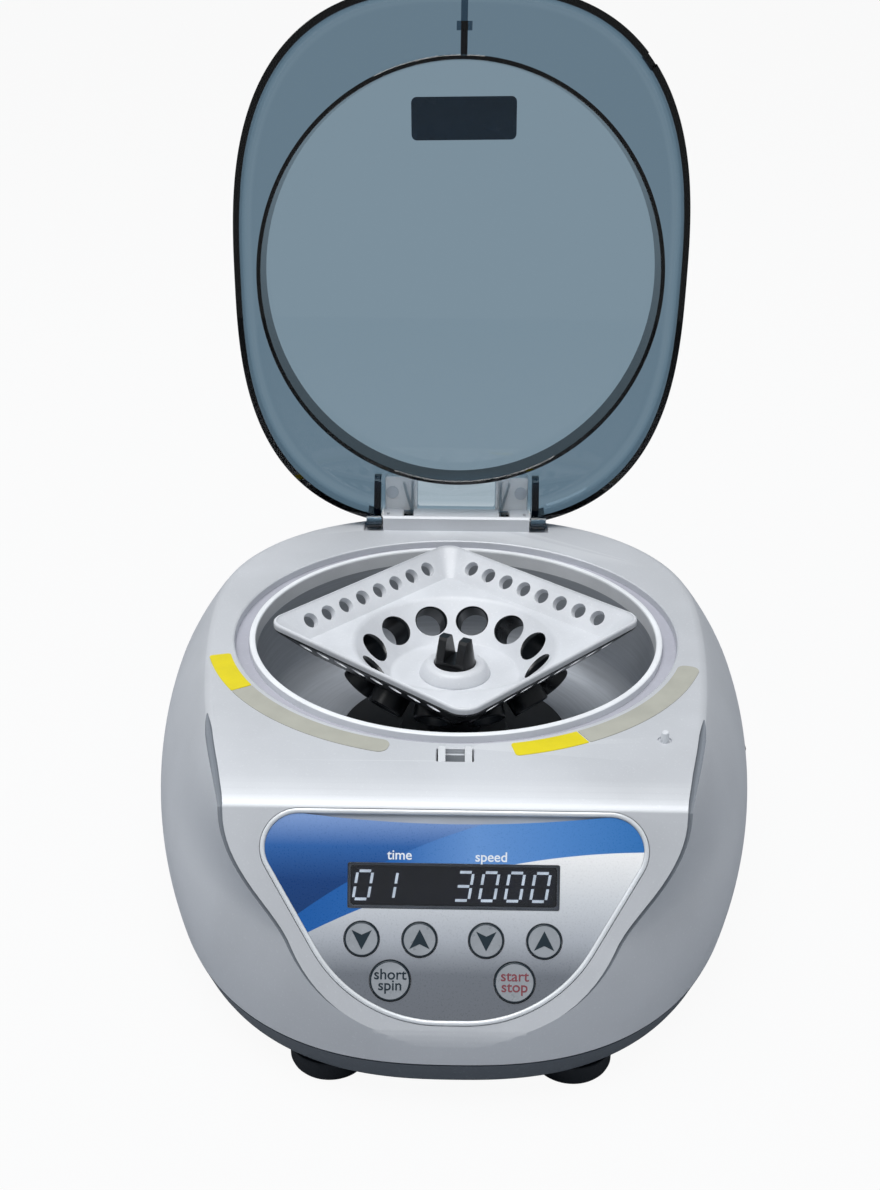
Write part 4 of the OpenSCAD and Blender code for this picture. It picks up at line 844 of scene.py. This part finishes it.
silver_field = printed_tones(v, -66, -12, (0, "6E7279"), (0.3, "737880"), (0.5, "B2B7BF"),
                             (0.72, "D6DADF"), (1, "FFFFFF"))
deep_blue = printed_tones(v, -38, -2, (0, "02356C"), (0.45, "033D7C"), (0.75, "2A63AA"), (1, "84A3D8"))
bright_blue = printed_tones(u, -50, 58, (0, "055AA8"), (0.3, "2468B4"), (0.52, "6798D8"),
                            (0.75, "4F8AD0"), (1, "2C74BC"))
# The sweep's two edges are arcs of large circles with their centres below the panel.
bright_arc, silver_arc = inside((59.5, -175.5), 178.9), inside((62.5, -244.9), 233.2)
sweep = node(t, "Mix", [(0, bright_arc), (6, deep_blue), (7, bright_blue)], data_type="RGBA")
artwork = node(t, "Mix", [(0, silver_arc), (6, sweep.outputs[2]), (7, silver_field)], data_type="RGBA")
fleck = node(t, "TexNoise", [("Vector", place)], in_Scale=1000 / 0.5, in_Detail=1.0)
gleam = node(t, "MapRange", [("Value", fleck.outputs[0])], in_From_Min=0.3, in_From_Max=0.7,
             in_To_Min=0.975, in_To_Max=1.025)
final = node(t, "VectorMath", [(0, artwork.outputs[2]), (1, gleam.outputs[0])], operation="MULTIPLY")
gloss = node(t, "MapRange", [("Value", fleck.outputs[0])], in_From_Min=0.3, in_From_Max=0.7,
             in_To_Min=0.26, in_To_Max=0.36)
bump = node(t, "Bump", [("Height", fleck.outputs[0])], in_Strength=0.04, in_Distance=0.0001)
wire(t, shader, Base_Color=final.outputs[0], Roughness=gloss.outputs[0], Normal=bump.outputs[0])
seat(smooth(film), "base", "blue_film", printed, "panel_film")

# Display: a pane of dark acrylic over a black module with lit digits.
pane, t, shader, place = new_material("dark_tinted_acrylic", Base_Color=linear("94989F"),
                                      Transmission_Weight=1.0, IOR=1.49)
dust = node(t, "TexNoise", [("Vector", place)], in_Scale=1000 / 6, in_Detail=3.0)
gloss = node(t, "MapRange", [("Value", dust.outputs[0])], in_From_Min=0.4, in_From_Max=0.7,
             in_To_Min=0.01, in_To_Max=0.07)
wire(t, shader, Roughness=gloss.outputs[0])
dress("display_window", pane, 0.2)
module_black = moulded("black_display_module", "071430", "12254A", grain=0.8, relief=0.04, patch=30)
dress("display_module", module_black)
# Lit segments: pale, blue-white, each a little uneven along its length.
lit, t, shader, place = new_material("lit_segments", Base_Color=linear("DFE6EC"), Roughness=0.5,
                                     Emission_Color=linear("E6EEF5"))
uneven = node(t, "TexNoise", [("Vector", place)], in_Scale=1000 / 3, in_Detail=1.0)
level = node(t, "MapRange", [("Value", uneven.outputs[0])], in_From_Min=0.3, in_From_Max=0.7,
             in_To_Min=1.6, in_To_Max=2.2)
wire(t, shader, Emission_Strength=level.outputs[0])
dress("display_digits", lit)


# Keys: six round keys moulded in ABS and sprayed silver, with a dark printed ring
# on the shoulder and a printed mark. Each rides on its own stem.
key_silver = moulded("key_silver_sprayed_abs", "A4A9AF", "CFD3D7", rough=0.3, grain=0.6, relief=0.04,
                     patch=6, Metallic=0.15)
# Inks: pad-printed on the keys and screen-printed on the film, with a low gloss.
ring_ink = moulded("dark_pad_printed_ink", "14242E", "24353F", rough=0.4, grain=0.5, relief=0.03, patch=4)
red_ink = moulded("red_pad_printed_ink", "7E3A44", "9A5A62", rough=0.4, grain=0.5, relief=0.03, patch=4)
white_ink = moulded("white_screen_printed_ink", "E8EFF8", "FFFFFF", rough=0.35, grain=0.5, relief=0.02,
                    patch=4)
FACE_Z = 0.3


def words(name, text, size, x, v, z):
    """Flat letters in the plain built-in face, printed 0.06 mm thick at x, v on the slope."""
    curve = bpy.data.curves.new(name, "FONT")
    curve.body, curve.size, curve.extrude = text, size / 1000, 0.00003
    curve.align_x, curve.align_y = "CENTER", "CENTER"
    curve.space_line, curve.offset = 0.72, 0.00005
    source = added(name, curve)
    ready = source.evaluated_get(bpy.context.evaluated_depsgraph_get())
    mesh = bpy.data.meshes.new_from_object(ready)
    bpy.data.objects.remove(source)
    o = added(name, mesh)
    mesh.transform(ON_SLOPE @ at(x, v, z))
    return o


def arrowhead(name, x, v, way):
    """Notched arrowhead, 6.2 mm wide, printed on a key."""
    outline = [(-3.1, -2.8), (0, -1.3), (3.1, -2.8), (0, 3.2)]
    outline = [(x + px * way, -v + py * way) for px, py in outline]
    return prism(name, outline, FACE_Z - 0.03, FACE_Z + 0.05, ON_SLOPE)


for name, (x, v) in KEYS.items():
    r = ARROW_R if v == KEY_ROW else RUN_R
    profile = [(0, -7.6), (2.3, -7.6), (2.3, -1.05), (r, -1.05), (r, -0.12), (r - 0.05, 0.08),
               (r - 0.16, 0.22), (r - 0.3, FACE_Z), (r - 0.52, FACE_Z), (0, FACE_Z)]
    key = lathe(name + "_cap", profile, 96, ON_SLOPE @ at(x, -v))
    smooth(key)
    body = name + "_body"
    seat(key, body, "key_blue" if v == KEY_ROW else "key_grey", (key_silver, ring_ink), name)
    for face in key.data.polygons:
        p = to_slope @ face.center
        away = math.hypot(p.x - x / 1000, p.y + v / 1000) * 1000
        if away > r - 0.5 and p.z > -0.0006:
            face.material_index = 1
    if v == KEY_ROW:
        mark = arrowhead(name + "_mark", x, v, 1 if name.endswith("up") else -1)
        seat(mark, body, "key_blue", ring_ink)
    else:
        start = name == "key_start_stop"
        text = "start\nstop" if start else "short\nspin"
        mark = words(name + "_mark", text, 4.6, x, -v + 0.2, FACE_Z + 0.02)
        seat(mark, body, "key_grey", red_ink if start else ring_ink)
seat(words("word_time", "time", 4.2, -16.5, -13.6, FILM_TOP + 0.02), "base", "blue_film", white_ink)
seat(words("word_speed", "speed", 4.2, 11.3, -13.9, FILM_TOP + 0.02), "base", "blue_film", white_ink)


# Labels: strips of grey vinyl and tags of yellow vinyl, cut to the curve of the
# groove and stuck on the deck. They are left blank.
def arc_strip(name, a0, a1, corner0, corner1):
    """Curved strip beside the groove from angle a0 to a1, with its two ends rounded."""
    r0, r1 = GROOVE_R + 2.15, GROOVE_R + 9.75
    mid = (r0 + r1) / 2
    length = math.radians(a1 - a0) * mid
    flat = rounded([(0, r0), (length, r0), (length, r1), (0, r1)], [corner0, corner1, corner1, corner0], 6)
    dense = []
    for (xa, ya), (xb, yb) in zip(flat, flat[1:] + flat[:1]):
        steps = max(1, int(abs(xb - xa) / 1.5))
        dense += [(xa + (xb - xa) * i / steps, ya + (yb - ya) * i / steps) for i in range(steps)]
    turned = [(math.radians(a0) + s / mid, r) for s, r in dense]
    bent = [(r * math.cos(a), r * math.sin(a)) for a, r in turned]
    return smooth(prism(name, bent, DECK + 0.01, DECK + 0.2))


# Calendered vinyl: an even colour with a fine pebble and small pale scuffs.
grey_vinyl = moulded("grey_calendered_vinyl", "A4A49A", "B8B8AE", rough=0.5, grain=0.6, relief=0.08, patch=9)
yellow_vinyl = moulded("yellow_calendered_vinyl", "D6C600", "E6D830", rough=0.42, grain=0.6, patch=9)
seat(arc_strip("strip_left", -147.2, -104.3, 0.4, 3.0), "base", "beige_film", grey_vinyl, "label_left")
seat(arc_strip("strip_right", -61.2, -18, 0.4, 3.0), "base", "beige_film", grey_vinyl, "label_right")
seat(arc_strip("yellow_left", -165, -147.5, 1.2, 0.4), "base", "yellow_film", yellow_vinyl, "tag_left")
seat(arc_strip("yellow_right", -77.6, -61.5, 1.2, 0.4), "base", "yellow_film", yellow_vinyl, "tag_right")


# Mains side: a rocker switch snapped into the right cheek, and a three-pole inlet
# behind with brass pins. Both are moulded in black.
# Glossy polycarbonate on the rocker, bought in with its frame.
switch_black = moulded("glossy_black_polycarbonate", "0B0D10", "2E3237", rough=0.22, grain=0.8,
                       relief=0.04, patch=8)
dress("switch_frame", nylon, 0.3)
dress("switch_rocker", switch_black, 0.4)
dress("power_inlet", nylon, 0.35)
# Brass stamped from strip: yellow, with the fine lines of the rolled strip.
brass = bare_metal("stamped_brass", "C9A24B", 0.28, 0.4)[0]
dress("inlet_pins", brass, 0.2)


# Floor and light: a pale table top that takes the shadow, a large soft lamp over
# the object and a weaker one at the front left.
def seen_directly(t):
    """1 where the camera sees a thing itself or through glass, 0 for the light on the object."""
    path = node(t, "LightPath")
    return node(t, "Math", [(0, path.outputs["Is Camera Ray"]), (1, path.outputs["Is Transmission Ray"])],
                operation="MAXIMUM").outputs[0]


mesh = bpy.data.meshes.new("floor")
mesh.from_pydata([(-3, -3, 0), (3, -3, 0), (3, 4, 0), (-3, 4, 0)], [], [(0, 1, 2, 3)])
floor = added("floor", mesh)
table = bpy.data.materials.new("pale_table")
table.use_nodes = True
t = table.node_tree
t.nodes.clear()
plain = node(t, "BsdfDiffuse", in_Color=linear("A8ACB2"))
glow = node(t, "Emission", in_Color=(1, 1, 1, 1), in_Strength=1.0)
part = node(t, "Math", [(0, seen_directly(t))], operation="MULTIPLY", in_1=0.94)
mix = node(t, "MixShader", [(0, part.outputs[0]), (1, plain.outputs[0]), (2, glow.outputs[0])])
node(t, "OutputMaterial", [("Surface", mix.outputs[0])])
mesh.materials.append(table)

world = bpy.data.worlds.new("studio")
bpy.context.scene.world = world
world.use_nodes = True
t = world.node_tree
t.nodes.clear()
dim = node(t, "Background", in_Color=(0.9, 0.95, 1.0, 1), in_Strength=0.32)
white = node(t, "Background", in_Color=(1, 1, 1, 1), in_Strength=1.0)
mix = node(t, "MixShader", [(0, seen_directly(t)), (1, dim.outputs[0]), (2, white.outputs[0])])
node(t, "OutputWorld", [("Surface", mix.outputs[0])])


def lamp(name, place, aim, size, watts):
    data = bpy.data.lights.new(name, "AREA")
    data.shape = "RECTANGLE"
    data.size, data.size_y = size
    data.energy = watts
    o = added(name, data)
    o.location = place
    o.rotation_euler = (Vector(aim) - Vector(place)).to_track_quat("-Z", "Y").to_euler()


lamp("ceiling", (-0.15, -0.15, 1.5), (0, 0, 0.05), (1.3, 1.0), 22)
lamp("front", (-0.7, -0.6, 1.2), (0, -0.05, 0.1), (0.5, 0.5), 1.5)

bpy.context.scene.view_settings.view_transform = "Standard"
